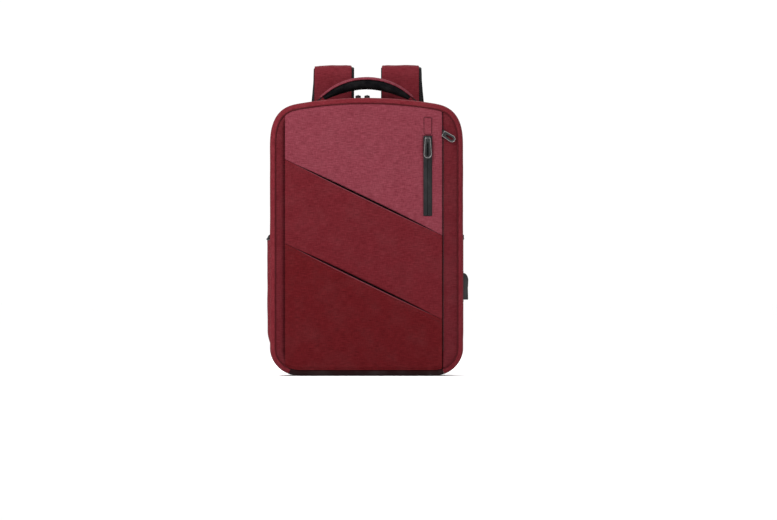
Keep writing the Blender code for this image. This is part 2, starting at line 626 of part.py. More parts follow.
def build_front_shell():
    body = "front_shell"
    wall = wall_path()
    front_end = ZIP_PLANE - ZIP_TAPE_WIDTH - GAP
    profile = [(0.0, front_end)] + FRONT_ROUND
    sheet("front_gusset", [inset_row(wall, i, y) for i, y in profile], WALL, "wine cloth side", body)
    tape = [(ZIP_RECESS, ZIP_PLANE - SHELL_GAP / 2), (ZIP_RECESS, front_end + GAP)]
    sheet("front_zip_tape", [inset_row(wall, i, y) for i, y in tape], ZIP_TAPE_THICKNESS,
          "black cloth", body)

    loop = inset_loop(EDGE_INSET)
    left_edge = Vector((LEFT_PLEAT, 0, 0))
    right_edge = Vector((RIGHT_PLEAT, 0, 0))
    panel_sides = [(left_edge + Vector((PLEAT_GAP / 2, 0, 0)), (-1, 0, 0)),
                   (right_edge - Vector((PLEAT_SLOT / 2, 0, 0)), (1, 0, 0))]
    upper, lower = TUCK_HEIGHTS
    panels = (("front_panel_top", "wine cloth top", [tuck_plane(upper, True)]),
              ("front_panel_middle", "wine cloth middle",
               [tuck_plane(upper, False), tuck_plane(lower, True)]),
              ("front_panel_bottom", "wine cloth bottom", [tuck_plane(lower, False)]))
    pieces = {}
    for name, finish, tucks in panels:
        pieces[name] = slab(name, loop, FRONT_Y, PANEL_BACK_Y, finish, body, panel_sides + tucks)
    half = FRONT_ZIP_WIDTH / 2
    zip_slot = block("front_zip_slot", (FRONT_ZIP_X - half - GAP, FRONT_Y - WALL, FRONT_ZIP_BOTTOM - GAP),
                     (FRONT_ZIP_X + half + GAP, PANEL_BACK_Y + WALL, FRONT_ZIP_TOP + GAP),
                     "coated zip", body)
    cut(pieces["front_panel_top"], zip_slot)

    band_y = FRONT_Y + BAND_DROP
    slab("front_band_left", loop, band_y, PANEL_BACK_Y, "wine cloth side", body,
         [(left_edge - Vector((PLEAT_GAP / 2, 0, 0)), (1, 0, 0))])
    slab("front_band_right", loop, band_y, PANEL_BACK_Y, "wine cloth side", body,
         [(right_edge + Vector((PLEAT_SLOT / 2, 0, 0)), (-1, 0, 0))])

    piping_inset = EDGE_INSET - PIPING_RADIUS - 2 * GAP
    build_piping(inset_row(wall[1:-1], piping_inset, FRONT_Y), body)
    slab("front_divider", inset_loop(WALL + 2 * GAP), DIVIDER_Y, DIVIDER_Y + DIVIDER_THICKNESS,
         "grey lining", body)
    floor = HALF_WIDTH - BOTTOM_CORNER_WIDTH * POCKET_FLOOR_SHARE
    block("front_pocket_floor", (-floor, PANEL_BACK_Y + 3 * GAP, POCKET_FLOOR_Z),
          (floor, DIVIDER_Y - GAP, POCKET_FLOOR_Z + SLEEVE_WALL), "grey lining", body)

    block("front_zip_tape_coated", (FRONT_ZIP_X - half, FRONT_Y + GAP, FRONT_ZIP_BOTTOM),
          (FRONT_ZIP_X + half, FRONT_Y + GAP + FRONT_ZIP_THICKNESS, FRONT_ZIP_TOP), "coated zip", body)
    block("zip_end_patch", (FRONT_ZIP_X - half, FRONT_Y - GAP - PATCH_THICKNESS, FRONT_ZIP_TOP + PATCH_GAP),
          (FRONT_ZIP_X + half, FRONT_Y - GAP, PATCH_TOP), "wine cloth top", body)
    side_half = SIDE_ZIP_WIDTH / 2
    block("side_zip_tape", (RIGHT_PLEAT - side_half, PANEL_BACK_Y + GAP, SIDE_ZIP_BOTTOM),
          (RIGHT_PLEAT + side_half, PANEL_BACK_Y + GAP + ZIP_TAPE_THICKNESS, SIDE_ZIP_TOP),
          "black cloth", body)
    build_usb_port(body)


def build_piping(points, body):
    """Round cord sewn into the front seam."""
    curve = bpy.data.curves.new("front_piping", "CURVE")
    curve.dimensions = "3D"
    curve.bevel_depth = PIPING_RADIUS
    curve.bevel_resolution = 1
    curve.use_fill_caps = True
    spline = curve.splines.new("POLY")
    spline.points.add(len(points) - 1)
    pivot = Vector(PIVOTS[body])
    for point, place in zip(spline.points, points):
        point.co = (*(place - pivot), 1.0)
    curve.materials.append(materials["wine cloth side"])
    piping = bpy.data.objects.new("front_piping", curve)
    parts.objects.link(piping)
    piping.parent = pivots[body]


def build_usb_port(body):
    """Moulded hood with a downward socket, low on the right side."""
    x0 = HALF_WIDTH + GAP
    x1 = HALF_WIDTH + HOOD_PROUD
    profile = [(x0, HOOD_BOTTOM), (x1, HOOD_BOTTOM), (x1, HOOD_TOP - HOOD_ROUND)]
    for step in range(1, 7):
        angle = math.radians(90 * step / 6)
        profile.append((x0 + (x1 - x0) * math.cos(angle), HOOD_TOP - HOOD_ROUND * (1 - math.sin(angle))))
    hood = slab("usb_hood", profile, HOOD_Y - HOOD_WIDTH / 2, HOOD_Y + HOOD_WIDTH / 2,
                "black plastic", body)
    middle = (x0 + x1) / 2
    low = Vector((middle - SOCKET_THICKNESS / 2, HOOD_Y - SOCKET_WIDTH / 2, HOOD_BOTTOM))
    high = Vector((middle + SOCKET_THICKNESS / 2, HOOD_Y + SOCKET_WIDTH / 2, HOOD_BOTTOM + SOCKET_DEPTH))
    margin = Vector((GAP, GAP, GAP))
    cut(hood, block("usb_recess", low - margin - Vector((0, 0, WALL)), high + margin,
                    "black plastic", body))
    socket = block("usb_socket", low, high, "socket metal", body)
    sheet_margin = Vector((SOCKET_SHEET, SOCKET_SHEET, SOCKET_SHEET))
    cut(socket, block("usb_mouth", low + sheet_margin - Vector((0, 0, WALL)), high - sheet_margin,
                      "socket metal", body))


# ---------------------------------------------------------------- zip sliders and pulls
def pull_loops(length, root_width, end_width, slot_width):
    """Outline of a tapered pull with a long slot; its root is at the top, on the origin."""
    def tapered(top, bottom, top_width, bottom_width):
        radius = bottom_width / 2
        loop = [(-top_width / 2, top), (-radius, bottom + radius)]
        for step in range(1, 6):
            angle = math.radians(180 + 30 * step)
            loop.append((radius * math.cos(angle), bottom + radius + radius * math.sin(angle)))
        return loop + [(radius, bottom + radius), (top_width / 2, top)]

    outer = tapered(PULL_ROOT, -length, root_width, end_width)
    inner = tapered(-1.6 * PULL_RIM, PULL_RIM - length, slot_width, slot_width)
    return [outer, list(reversed(inner))]


def build_zip_hardware():
    turned = Matrix.Rotation(math.radians(90), 4, "X")   # flat plate to upright, facing front
    pull = pull_loops(PULL_LENGTH, PULL_TOP_WIDTH, PULL_END_WIDTH, PULL_SLOT)

    slider_back = SLIDER_FACE_Y
    slider_front = slider_back - SLIDER_HEIGHT
    top = FRONT_ZIP_TOP - SLIDER_STOP
    block("pocket_slider", (FRONT_ZIP_X - SLIDER_WIDTH / 2, slider_front, top - SLIDER_LENGTH),
          (FRONT_ZIP_X + SLIDER_WIDTH / 2, slider_back, top), "black plastic", "pocket_slider", 0.0008)
    plate("pocket_pull", pull, PULL_THICKNESS,
          Matrix.Translation(PIVOTS["pocket_pull"]) @ turned, "gunmetal", "pocket_pull")

    stem = PLEAT_SLOT - 2 * GAP
    block("side_slider", (RIGHT_PLEAT - stem / 2, SLIDER_FACE_Y, SIDE_SLIDER_Z - SLIDER_LENGTH / 2),
          (RIGHT_PLEAT + stem / 2, PANEL_BACK_Y - GAP, SIDE_SLIDER_Z + SLIDER_LENGTH / 2),
          "black plastic", "side_slider", 0.0005)
    side = pull_loops(SIDE_PULL_LENGTH, SIDE_PULL_WIDTH, SIDE_PULL_WIDTH, PULL_SLOT)
    lean = Matrix.Rotation(math.radians(-90 - SIDE_PULL_TILT), 4, "Y")
    plate("side_pull", side, PULL_THICKNESS,
          Matrix.Translation((RIGHT_PLEAT, SLIDER_FACE_Y - GAP - PULL_THICKNESS / 2, SIDE_SLIDER_Z))
          @ lean @ turned, "gunmetal", "side_pull")

    small = pull_loops(MAIN_PULL_LENGTH, MAIN_PULL_ROOT_WIDTH, MAIN_PULL_WIDTH, MAIN_PULL_SLOT)
    lying = Matrix.Rotation(math.radians(180), 4, "Z")   # the root in front, the end behind
    for side_name, x in zip(("left", "right"), MAIN_SLIDER_X):
        name = f"main_slider_{side_name}"
        block(name, (x - SLIDER_WIDTH / 2, ZIP_PLANE - SLIDER_LENGTH * SLIDER_AHEAD, MAIN_SLIDER_Z),
              (x + SLIDER_WIDTH / 2, ZIP_PLANE + SLIDER_LENGTH * (1 - SLIDER_AHEAD),
               MAIN_SLIDER_Z + SLIDER_HEIGHT),
              "gunmetal", name, 0.0010)
        pull_name = f"main_pull_{side_name}"
        plate(pull_name, small, PULL_THICKNESS, Matrix.Translation(PIVOTS[pull_name]) @ lying,
              "gunmetal", pull_name)


# ---------------------------------------------------------------- laptop strap, handle, straps
def build_laptop_strap():
    body = "laptop_strap"
    wall_y = INNER_BACK_Y - GAP - SLEEVE_SPACE - SLEEVE_WALL
    out = wall_y - WEBBING_THICKNESS - 3 * GAP
    half = STRAP_CLOSURE_WIDTH / 2
    start = LAPTOP_STRAP_Y - WEBBING_THICKNESS / 2
    course = ((start, STRAP_CLOSURE_Z),
              (start - SLEEVE_FLOOR, STRAP_CLOSURE_Z - STRAP_CLOSURE_STEP),
              (out, SLEEVE_TOP + STRAP_CLOSURE_STEP), (out, SLEEVE_TOP - STRAP_CLOSURE_REACH))
    rows = [[Vector((x, y, z)) for x in (-half, half)] for y, z in reversed(course)]
    sheet("laptop_strap", rows, WEBBING_THICKNESS, "black cloth", body)


def handle_rows(radius, margin, angles):
    rows = []
    reach = math.radians(90 - HANDLE_FOOT_ANGLE)
    for side in (1, 0, -1):
        row = []
        for angle in angles:
            fullness = 1 - abs((angle - math.pi / 2) / reach) ** 3
            width = HANDLE_END_WIDTH + (HANDLE_WIDTH - HANDLE_END_WIDTH) * fullness - 2 * margin
            row.append(Vector((radius * math.cos(angle), HANDLE_Y + side * width / 2,
                               HANDLE_CENTRE_Z + radius * math.sin(angle))))
        rows.append(row)
    return rows


def build_handle():
    sweep = 180 - 2 * HANDLE_FOOT_ANGLE
    angles = [math.radians(HANDLE_FOOT_ANGLE + sweep * step / HANDLE_STEPS)
              for step in range(HANDLE_STEPS + 1)]
    body = "carry_handle"
    trim = block("handle_trim", (-HANDLE_RADIUS, HANDLE_Y - HANDLE_WIDTH, HANDLE_CENTRE_Z),
                 (HANDLE_RADIUS, HANDLE_Y + HANDLE_WIDTH, HANDLE_FOOT_Z), "black cloth", body)
    skin = sheet("handle_skin", handle_rows(HANDLE_RADIUS, 0.0, angles), HANDLE_SKIN,
                 "wine cloth top", body)
    cut(skin, trim)
    grip_radius = HANDLE_RADIUS - HANDLE_SKIN - GAP
    grip = sheet("handle_grip", handle_rows(grip_radius, HANDLE_GRIP_MARGIN, angles), HANDLE_GRIP,
                 "black mesh", body)
    soften(cut(grip, trim), 0.002)


def build_shoulder_strap(side, sign):
    body = f"strap_{side}"

    def handed(rows):
        return rows if sign > 0 else mirrored(rows)

    course = smooth_course([(x, BACK_Y + y, BODY_HEIGHT + z) for x, y, z in STRAP_COURSE], STRAP_STEPS)
    last = len(course) - 1
    widths = [STRAP_WIDTH + (STRAP_END_WIDTH - STRAP_WIDTH) * max(0.0, i / last - 0.5) * 2
              for i in range(last + 1)]
    sheet(f"strap_skin_{side}", handed(ribbon_rows(course, widths)), STRAP_SKIN,
          "wine cloth side", body)
    wide = [width + STRAP_PAD_EXTRA for width in widths]
    sheet(f"strap_pad_{side}", handed(ribbon_rows(course, wide, STRAP_SKIN + GAP)), STRAP_PAD,
          "black mesh", body)

    end = course[-1]
    run = (course[-1] - course[-3]).normalized()
    lock_centre = end + run * (LOCK_HEIGHT / 2 + LOCK_DROP) - Vector((0, STRAP_PAD / 2, 0))
    build_ladder_lock(side, sign, body, lock_centre)

    lean = abs(ANCHOR_X - lock_centre.x) / (lock_centre.z - ANCHOR_Z)
    drop = WEBBING_GAP + lean * WEBBING_WIDTH / 2
    foot = STRAP_LOW_PIVOT + Vector((0, 0, drop))
    lock_foot = lock_centre - Vector((0, 0, LOCK_HEIGHT / 2 + drop))
    down = [lock_foot.lerp(foot, step / 6) for step in range(7)]
    bow = [Vector((0, WEBBING_BOW * math.sin(math.pi * step / 6), 0)) for step in range(7)]
    lower = [place + offset for place, offset in zip(down, bow)]
    sheet(f"strap_webbing_{side}", handed(ribbon_rows(lower, [WEBBING_WIDTH] * 7)),
          WEBBING_THICKNESS, "black cloth", body)
    tail_top = lock_foot + Vector((0, WEBBING_BOW, 0))
    hang = Vector((*WEBBING_SWAY, -WEBBING_TAIL))
    tail = [tail_top + hang * (step / 4) for step in range(5)]
    sheet(f"strap_tail_{side}", handed(ribbon_rows(tail, [WEBBING_WIDTH] * 5)),
          WEBBING_THICKNESS, "black cloth", body)


def build_ladder_lock(side, sign, body, centre):
    """Two-slot buckle that the lower webbing runs through."""
    centre = Vector((centre.x * sign, centre.y, centre.z))
    size = Vector((LOCK_WIDTH, LOCK_THICKNESS, LOCK_HEIGHT)) / 2
    lock = block(f"ladder_lock_{side}", centre - size, centre + size, "black plastic", body, 0.0012)
    slot_height = (LOCK_HEIGHT - 3 * LOCK_BAR) / 2
    half = LOCK_WIDTH / 2 - LOCK_BAR
    reach = 2 * LOCK_THICKNESS
    for index, low in enumerate((LOCK_BAR, 2 * LOCK_BAR + slot_height)):
        base = centre.z - LOCK_HEIGHT / 2 + low
        cut(lock, block(f"lock_slot_{side}_{index}", (centre.x - half, centre.y - reach, base),
                        (centre.x + half, centre.y + reach, base + slot_height), "black plastic", body))


# ---------------------------------------------------------------- build
clear_scene()
parts = new_collection("travel_backpack")
cutters = new_collection("cutters")
materials = {name: make_material(name) for name in FINISHES}
pivots = {}
for pivot_name, place in PIVOTS.items():
    empty = bpy.data.objects.new(f"pivot_{pivot_name}", None)
    empty.location = place
    parts.objects.link(empty)
    pivots[pivot_name] = empty

build_rear_shell()
side_pocket("left", -1, POCKET_PROUD)
side_pocket("right", 1, POCKET_FLAT)
build_front_shell()
build_zip_hardware()
build_laptop_strap()
build_handle()
for side_name, side_sign in (("left", -1), ("right", 1)):
    build_shoulder_strap(side_name, side_sign)
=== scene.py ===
import json
import math

import bmesh
import bpy
import numpy as np
from mathutils import Matrix, Vector, noise


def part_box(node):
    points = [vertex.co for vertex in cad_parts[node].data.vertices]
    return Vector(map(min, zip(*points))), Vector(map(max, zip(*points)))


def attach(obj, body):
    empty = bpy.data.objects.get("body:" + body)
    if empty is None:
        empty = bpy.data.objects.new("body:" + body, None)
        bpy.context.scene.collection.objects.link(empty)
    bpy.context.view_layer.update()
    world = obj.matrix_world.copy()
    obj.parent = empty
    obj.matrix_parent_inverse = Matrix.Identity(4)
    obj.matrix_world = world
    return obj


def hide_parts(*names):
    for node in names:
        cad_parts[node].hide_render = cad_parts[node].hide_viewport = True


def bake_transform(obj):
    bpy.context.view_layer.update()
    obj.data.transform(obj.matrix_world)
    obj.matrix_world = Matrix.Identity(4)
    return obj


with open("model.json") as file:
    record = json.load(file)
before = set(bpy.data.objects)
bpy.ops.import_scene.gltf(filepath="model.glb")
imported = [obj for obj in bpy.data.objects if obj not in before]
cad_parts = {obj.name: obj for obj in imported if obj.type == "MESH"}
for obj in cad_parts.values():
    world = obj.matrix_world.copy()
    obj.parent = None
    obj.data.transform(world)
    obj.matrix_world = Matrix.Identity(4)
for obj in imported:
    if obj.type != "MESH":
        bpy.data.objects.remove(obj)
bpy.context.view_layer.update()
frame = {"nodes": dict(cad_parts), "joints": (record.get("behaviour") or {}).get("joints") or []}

print("frame loaded")

# the whole bag: what its outline is drawn from, in metres
bag = dict(
    archRadius=0.666,           # of the top edge
    topCorner=(0.050, 0.065),   # width, height
    topFullness=3.0,
    bottomCorner=(0.048, 0.044),
    seamInset=0.009,            # the panels' seam, in from the outline
    edgeRound=0.011,            # depth over which the wall rounds into that seam
    wall=0.0024,                # cloth with its foam
)
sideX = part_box("rear_gusset")[1].x
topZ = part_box("rear_gusset")[1].z
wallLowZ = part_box("rear_gusset")[0].z
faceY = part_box("front_panel_middle")[0].y
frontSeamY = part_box("front_gusset")[0].y
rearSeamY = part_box("rear_gusset")[1].y
zipY = (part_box("front_zip_tape")[1].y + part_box("rear_zip_tape")[0].y) / 2
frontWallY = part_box("front_gusset")[1].y
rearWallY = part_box("rear_gusset")[0].y
sides = (("left", -1), ("right", 1))


# small helpers that make and finish pieces
def makeObject(name, bm):
    mesh = bpy.data.meshes.new(name)
    bm.to_mesh(mesh)
    bm.free()
    piece = bpy.data.objects.new(name, mesh)
    bpy.context.scene.collection.objects.link(piece)
    return piece


def thicken(piece, thickness, inner=0):
    solid = piece.modifiers.new("cloth thickness", "SOLIDIFY")
    solid.thickness = thickness
    solid.offset = -1.0
    solid.material_offset = inner
    return piece


def subdivide(piece, levels=1):
    smoother = piece.modifiers.new("smooth", "SUBSURF")
    smoother.levels = levels
    smoother.render_levels = levels
    return piece


def bevelEdges(piece, width, segments=2, angle=40):
    bevel = piece.modifiers.new("edges", "BEVEL")
    bevel.width = width
    bevel.segments = segments
    bevel.limit_method = "ANGLE"
    bevel.angle_limit = math.radians(angle)
    return piece


def finishPiece(piece, body=None, replaces=(), materials=(), smooth=True, sharp=None):
    # gives a piece its materials, its CAD nodes and the body it moves with
    for material in materials:
        piece.data.materials.append(material)
    if smooth:
        piece.data.shade_smooth()
    if sharp:
        piece.data.set_sharp_from_angle(angle=math.radians(sharp))
    if body:
        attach(piece, body)
    if replaces:
        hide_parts(*replaces)
    return piece


def shapedGrid(name, columns, rows, place, flat=False, wrap=False):
    # a grid carried to place(u, v), u and v from 0 to 1; its UV map "cloth" is in metres along the cloth
    bm = bmesh.new()
    bmesh.ops.create_grid(bm, x_segments=columns, y_segments=rows, size=0.5)
    bm.verts.ensure_lookup_table()
    for vert in bm.verts:
        vert.co = place(vert.co.x + 0.5, vert.co.y + 0.5)
    width = columns + 1
    midRow = (rows // 2) * width
    midColumn = columns // 2
    run = [0.0]
    for i in range(1, width):
        run.append(run[-1] + (bm.verts[midRow + i].co - bm.verts[midRow + i - 1].co).length)
    rise = [0.0]
    for j in range(1, rows + 1):
        step = bm.verts[j * width + midColumn].co - bm.verts[(j - 1) * width + midColumn].co
        rise.append(rise[-1] + step.length)
    layer = bm.loops.layers.uv.new("cloth")
    for face in bm.faces:
        for loop in face.loops:
            row, column = divmod(loop.vert.index, width)
            co = loop.vert.co
            loop[layer].uv = (co.x, co.z) if flat else (run[column], rise[row])
    if wrap:
        bmesh.ops.remove_doubles(bm, verts=bm.verts, dist=1e-6)
    return makeObject(name, bm)


def sweptTube(name, points, radius, sides=8, squash=1.0):
    # a round cord along points, its ends filled
    count = len(points) - 1

    def place(u, v):
        index = round(v * count)
        along = (points[min(index + 1, count)] - points[max(index - 1, 0)]).normalized()
        side = along.cross(Vector((0, 1, 0)) if abs(along.y) < 0.9 else Vector((1, 0, 0))).normalized()
        up = side.cross(along)
        turn = -2 * math.pi * u
        thick = radius(v) if callable(radius) else radius
        return points[index] + side * math.cos(turn) * thick + up * math.sin(turn) * thick * squash

    return closeEnds(shapedGrid(name, sides, count, place, wrap=True))


def closeEnds(tube):
    # fills both ends of a tube, whose rings may have up to 80 sides
    bm = bmesh.new()
    bm.from_mesh(tube.data)
    bmesh.ops.holes_fill(bm, edges=bm.edges, sides=80)
    bmesh.ops.recalc_face_normals(bm, faces=bm.faces)
    bm.to_mesh(tube.data)
    bm.free()
    return tube


def clothPiece(name, grid, place, thickness, body, replaces=(), materials=(), flat=False):
    # a sheet of cloth with its thickness; a second material is its inner face
    sheet = thicken(shapedGrid(name, *grid, place, flat=flat), thickness, inner=len(materials) - 1)
    return finishPiece(sheet, body, replaces, materials)


def boxShape(size, centre):
    bm = bmesh.new()
    bmesh.ops.create_cube(bm, size=1.0)
    bmesh.ops.scale(bm, vec=size, verts=bm.verts)
    bmesh.ops.translate(bm, vec=centre, verts=bm.verts)
    return bm


def bevelThese(bm, edges, offset, segments):
    bmesh.ops.bevel(bm, geom=edges, offset=offset, segments=segments, profile=0.5, affect="EDGES",
                    material=-1)


def groove(distance, width):
    # 1 on a line, falling to 0 beside it
    return math.exp(-(distance / width) ** 2)


def smoothstep(t):
    t = min(1.0, max(0.0, t))
    return t * t * (3 - 2 * t)


def ease(t):
    # crowds a grid's lines towards both edges
    return 0.5 - 0.5 * math.cos(math.pi * t)


def soften(x, y, z, scale=20.0):
    # a slow, repeatable unevenness from -1 to 1
    return noise.noise(Vector((x, y, z)) * scale)


def quarterRoll(distance, radius):
    # how far a rolled edge has dropped at a distance from its end
    if radius <= 0 or distance >= radius:
        return 0.0
    return radius - math.sqrt(max(0.0, radius * radius - (radius - distance) ** 2))


def smoothCourse(points, steps):
    # points of a smooth curve through a strap's own points
    points = [Vector(p) for p in points]
    ends = [2 * points[0] - points[1]] + points + [2 * points[-1] - points[-2]]
    course = []
    for a, b, c, d in zip(ends, ends[1:], ends[2:], ends[3:]):
        for step in range(steps):
            t = step / steps
            course.append(0.5 * (2 * b + (c - a) * t + (2 * a - 5 * b + 4 * c - d) * t * t
                                 + (3 * b - a - 3 * c + d) * t ** 3))
    return course + [points[-1]]


def evenCourse(points, count):
    # the same curve at equal steps
    points = [Vector(p) for p in points]
    runs = np.concatenate([[0], np.cumsum([(b - a).length for a, b in zip(points, points[1:])])])
    at = np.linspace(0, runs[-1], count + 1)
    columns = [np.interp(at, runs, [p[k] for p in points]) for k in range(3)]
    return [Vector(p) for p in zip(*columns)]


# the outline, as a run in metres anticlockwise from the middle of the base
outlineSteps = (24, 48, 60, 40)     # half of the base, a low corner, a side, half of the arch


def outlinePoints():
    cornerX, cornerZ = bag["bottomCorner"]
    topX, topDrop = bag["topCorner"]
    centre = topZ - bag["archRadius"]

    def arch(x):
        return centre + math.sqrt(bag["archRadius"] ** 2 - x * x)

    base, corner, side, top = outlineSteps
    right = [((sideX - cornerX) * i / base, 0.0) for i in range(base)]
    for i in range(corner):
        a = math.radians(90 * i / corner - 90)
        right.append((sideX - cornerX * (1 - math.cos(a)), cornerZ * (1 + math.sin(a))))
    shoulder = arch(sideX) - topDrop
    right += [(sideX, cornerZ + (shoulder - cornerZ) * i / side) for i in range(side)]
    power = 2 / bag["topFullness"]
    for i in range(side + 1):
        a = math.radians(90 * i / side)
        x = sideX - topX + topX * math.cos(a) ** power
        right.append((x, arch(x) - topDrop + topDrop * math.sin(a) ** power))
    flat = sideX - topX
    right += [(flat * (1 - i / top), arch(flat * (1 - i / top))) for i in range(1, top + 1)]
    return right + [(-x, z) for x, z in reversed(right[:-1])]


outline = np.array(outlinePoints())
runs = np.concatenate([[0], np.cumsum(np.hypot(*np.diff(outline, axis=0).T))])
girth = runs[-1]
lowCorner = slice(outlineSteps[0], outlineSteps[0] + outlineSteps[1])
wallStart = float(np.interp(wallLowZ, outline[lowCorner, 1], runs[lowCorner]))
wallRun = girth - 2 * wallStart


def onOutline(s):
    # a point of the outline, with its outward normal
    x, z = np.interp(s, runs, outline[:, 0]), np.interp(s, runs, outline[:, 1])
    step = 0.004
    x0, x1 = np.interp([s - step, s + step], runs, outline[:, 0])
    z0, z1 = np.interp([s - step, s + step], runs, outline[:, 1])
    size = math.hypot(x1 - x0, z1 - z0)
    return x, z, (z1 - z0) / size, (x0 - x1) / size


def wallPoint(s, inset, y):
    x, z, outX, outZ = onOutline(s)
    return Vector((x - outX * inset, y, z - outZ * inset))


seamLoop = [wallPoint(s, bag["seamInset"], 0) for s in np.linspace(0, girth, 900)]
upperSeam = np.array(sorted((p.x, p.z) for p in seamLoop if p.z > topZ / 2))
lowerSeam = np.array(sorted((p.x, -p.z) for p in seamLoop if p.z <= topZ / 2))


def seamTop(x):
    return float(np.interp(x, upperSeam[:, 0], upperSeam[:, 1]))


def seamBottom(x):
    return -float(np.interp(x, lowerSeam[:, 0], lowerSeam[:, 1]))


# materials: shared patterns are node groups, shaders stay in the materials
def calc(tree, operation, a, b=None, c=None):
    node = tree.nodes.new("ShaderNodeMath")
    node.operation = operation
    for index, value in enumerate((a, b, c)):
        if value is None:
            continue
        if isinstance(value, (int, float)):
            node.inputs[index].default_value = value
        else:
            tree.links.new(value, node.inputs[index])
    return node.outputs[0]


def stretchPlace(tree, place, factors):
    # a place times a vector, or times a number or a socket
    node = tree.nodes.new("ShaderNodeVectorMath")
    node.operation = "MULTIPLY" if isinstance(factors, tuple) else "SCALE"
    tree.links.new(place, node.inputs[0])
    if isinstance(factors, tuple):
        node.inputs[1].default_value = factors
    elif isinstance(factors, float):
        node.inputs["Scale"].default_value = factors
    else:
        tree.links.new(factors, node.inputs["Scale"])
    return node.outputs[0]


def noiseAt(tree, place, scale, detail=3.0, roughness=0.55):
    node = tree.nodes.new("ShaderNodeTexNoise")
    node.inputs["Scale"].default_value = scale
    node.inputs["Detail"].default_value = detail
    node.inputs["Roughness"].default_value = roughness
    tree.links.new(place, node.inputs["Vector"])
    return node.outputs["Fac"]


def blendColour(tree, factor, a, b, blend="MIX"):
    node = tree.nodes.new("ShaderNodeMix")
    node.data_type = "RGBA"
    node.blend_type = blend
    for index, value in ((0, factor), (6, a), (7, b)):
        if isinstance(value, (int, float)):
            node.inputs[index].default_value = value
        elif isinstance(value, tuple):
            node.inputs[index].default_value = (*value, 1.0)
        else:
            tree.links.new(value, node.inputs[index])
    return node.outputs[2]


def spread(tree, value, low, high, toLow=0.0, toHigh=1.0):
    node = tree.nodes.new("ShaderNodeMapRange")
    tree.links.new(value, node.inputs[0])
    for index, number in enumerate((low, high, toLow, toHigh), 1):
        node.inputs[index].default_value = number
    return node.outputs[0]


def startGroup(name, setting, start, outputs):
    # a group that takes a place and one setting, and gives out numbers
    group = bpy.data.node_groups.new(name, "ShaderNodeTree")
    addSocket = group.interface.new_socket
    addSocket(name="Place", in_out="INPUT", socket_type="NodeSocketVector")
    addSocket(name=setting, in_out="INPUT", socket_type="NodeSocketFloat").default_value = start
    for label in outputs:
        addSocket(name=label, in_out="OUTPUT", socket_type="NodeSocketFloat")
    return group, group.nodes.new("NodeGroupInput").outputs, group.nodes.new("NodeGroupOutput").inputs


def splitPlace(tree, place, scale):
    # x, y and z of a place, each times a scale
    parts = tree.nodes.new("ShaderNodeSeparateXYZ")
    tree.links.new(stretchPlace(tree, place, scale), parts.inputs[0])
    return parts.outputs[0], parts.outputs[1], parts.outputs[2]


def makeWeave():
    # over and under threads of a plain weave
    group, given, result = startGroup("plainWeave", "Threads", 1400.0, ("Height", "Gap"))
    x, y, _ = splitPlace(group, given["Place"], given["Threads"])
    across = calc(group, "SINE", calc(group, "MULTIPLY", x, math.pi))
    down = calc(group, "SINE", calc(group, "MULTIPLY", y, math.pi))
    over = calc(group, "MULTIPLY", across, down)
    group.links.new(calc(group, "MULTIPLY_ADD", over, 0.5, 0.5), result["Height"])
    group.links.new(calc(group, "POWER", calc(group, "ABSOLUTE", over), 0.5), result["Gap"])
    return group


def makeMelange():
    # streaks of paler and darker yarn: long across the cloth, shorter down it, and slow clouds
    group, given, result = startGroup("melangeYarn", "Length", 1.0, ("Tone", "Fleck"))
    place = stretchPlace(group, given["Place"], given["Length"])

    def streaks(factors, detail):
        return noiseAt(group, stretchPlace(group, place, factors), 1.0, detail)

    weft, warp = streaks((95, 900, 900), 2.0), streaks((800, 130, 130), 2.0)
    tone = calc(group, "MULTIPLY_ADD", weft, 0.60, calc(group, "MULTIPLY", warp, 0.30))
    tone = calc(group, "MULTIPLY_ADD", streaks((30, 46, 46), 3.0), 0.10, tone)
    group.links.new(spread(group, tone, 0.34, 0.66), result["Tone"])
    group.links.new(spread(group, streaks((420, 1500, 1500), 1.0), 0.62, 0.74), result["Fleck"])
    return group


def makeMeshHoles():
    # a hexagonal net of small round openings: three waves, 60 degrees apart
    group, given, result = startGroup("meshHoles", "Pitch", 300.0, ("Net",))
    x, _, z = splitPlace(group, given["Place"], given["Pitch"])
    total = 0.0
    for degrees in (0, 60, 120):
        a = math.radians(degrees)
        along = calc(group, "MULTIPLY_ADD", x, 2 * math.pi * math.cos(a),
                     calc(group, "MULTIPLY", z, 2 * math.pi * math.sin(a)))
        total = calc(group, "ADD", total, calc(group, "COSINE", along))
    group.links.new(spread(group, total, 1.6, -0.6), result["Net"])
    return group


def makeWear():
    # soft scuffs and dust, stronger where the mask's noise peaks
    group, given, result = startGroup("handlingWear", "Scale", 1.0, ("Dust", "Scuff"))
    place = stretchPlace(group, given["Place"], given["Scale"])
    slow = spread(group, noiseAt(group, place, 26.0, 4.0, 0.6), 0.45, 0.75)
    fine = noiseAt(group, place, 900.0, 2.0, 0.6)
    group.links.new(calc(group, "MULTIPLY", slow, fine), result["Dust"])
    scuff = noiseAt(group, stretchPlace(group, place, (900, 140, 900)), 1.0, 4.0, 0.7)
    group.links.new(spread(group, scuff, 0.55, 0.75), result["Scuff"])
    return group


weaveGroup = makeWeave()
melangeGroup = makeMelange()
meshGroup = makeMeshHoles()
wearGroup = makeWear()


def placeGroup(tree, group, place, **values):
    node = tree.nodes.new("ShaderNodeGroup")
    node.node_tree = group
    tree.links.new(place, node.inputs["Place"])
    for label, value in values.items():
        node.inputs[label].default_value = value
    return node.outputs


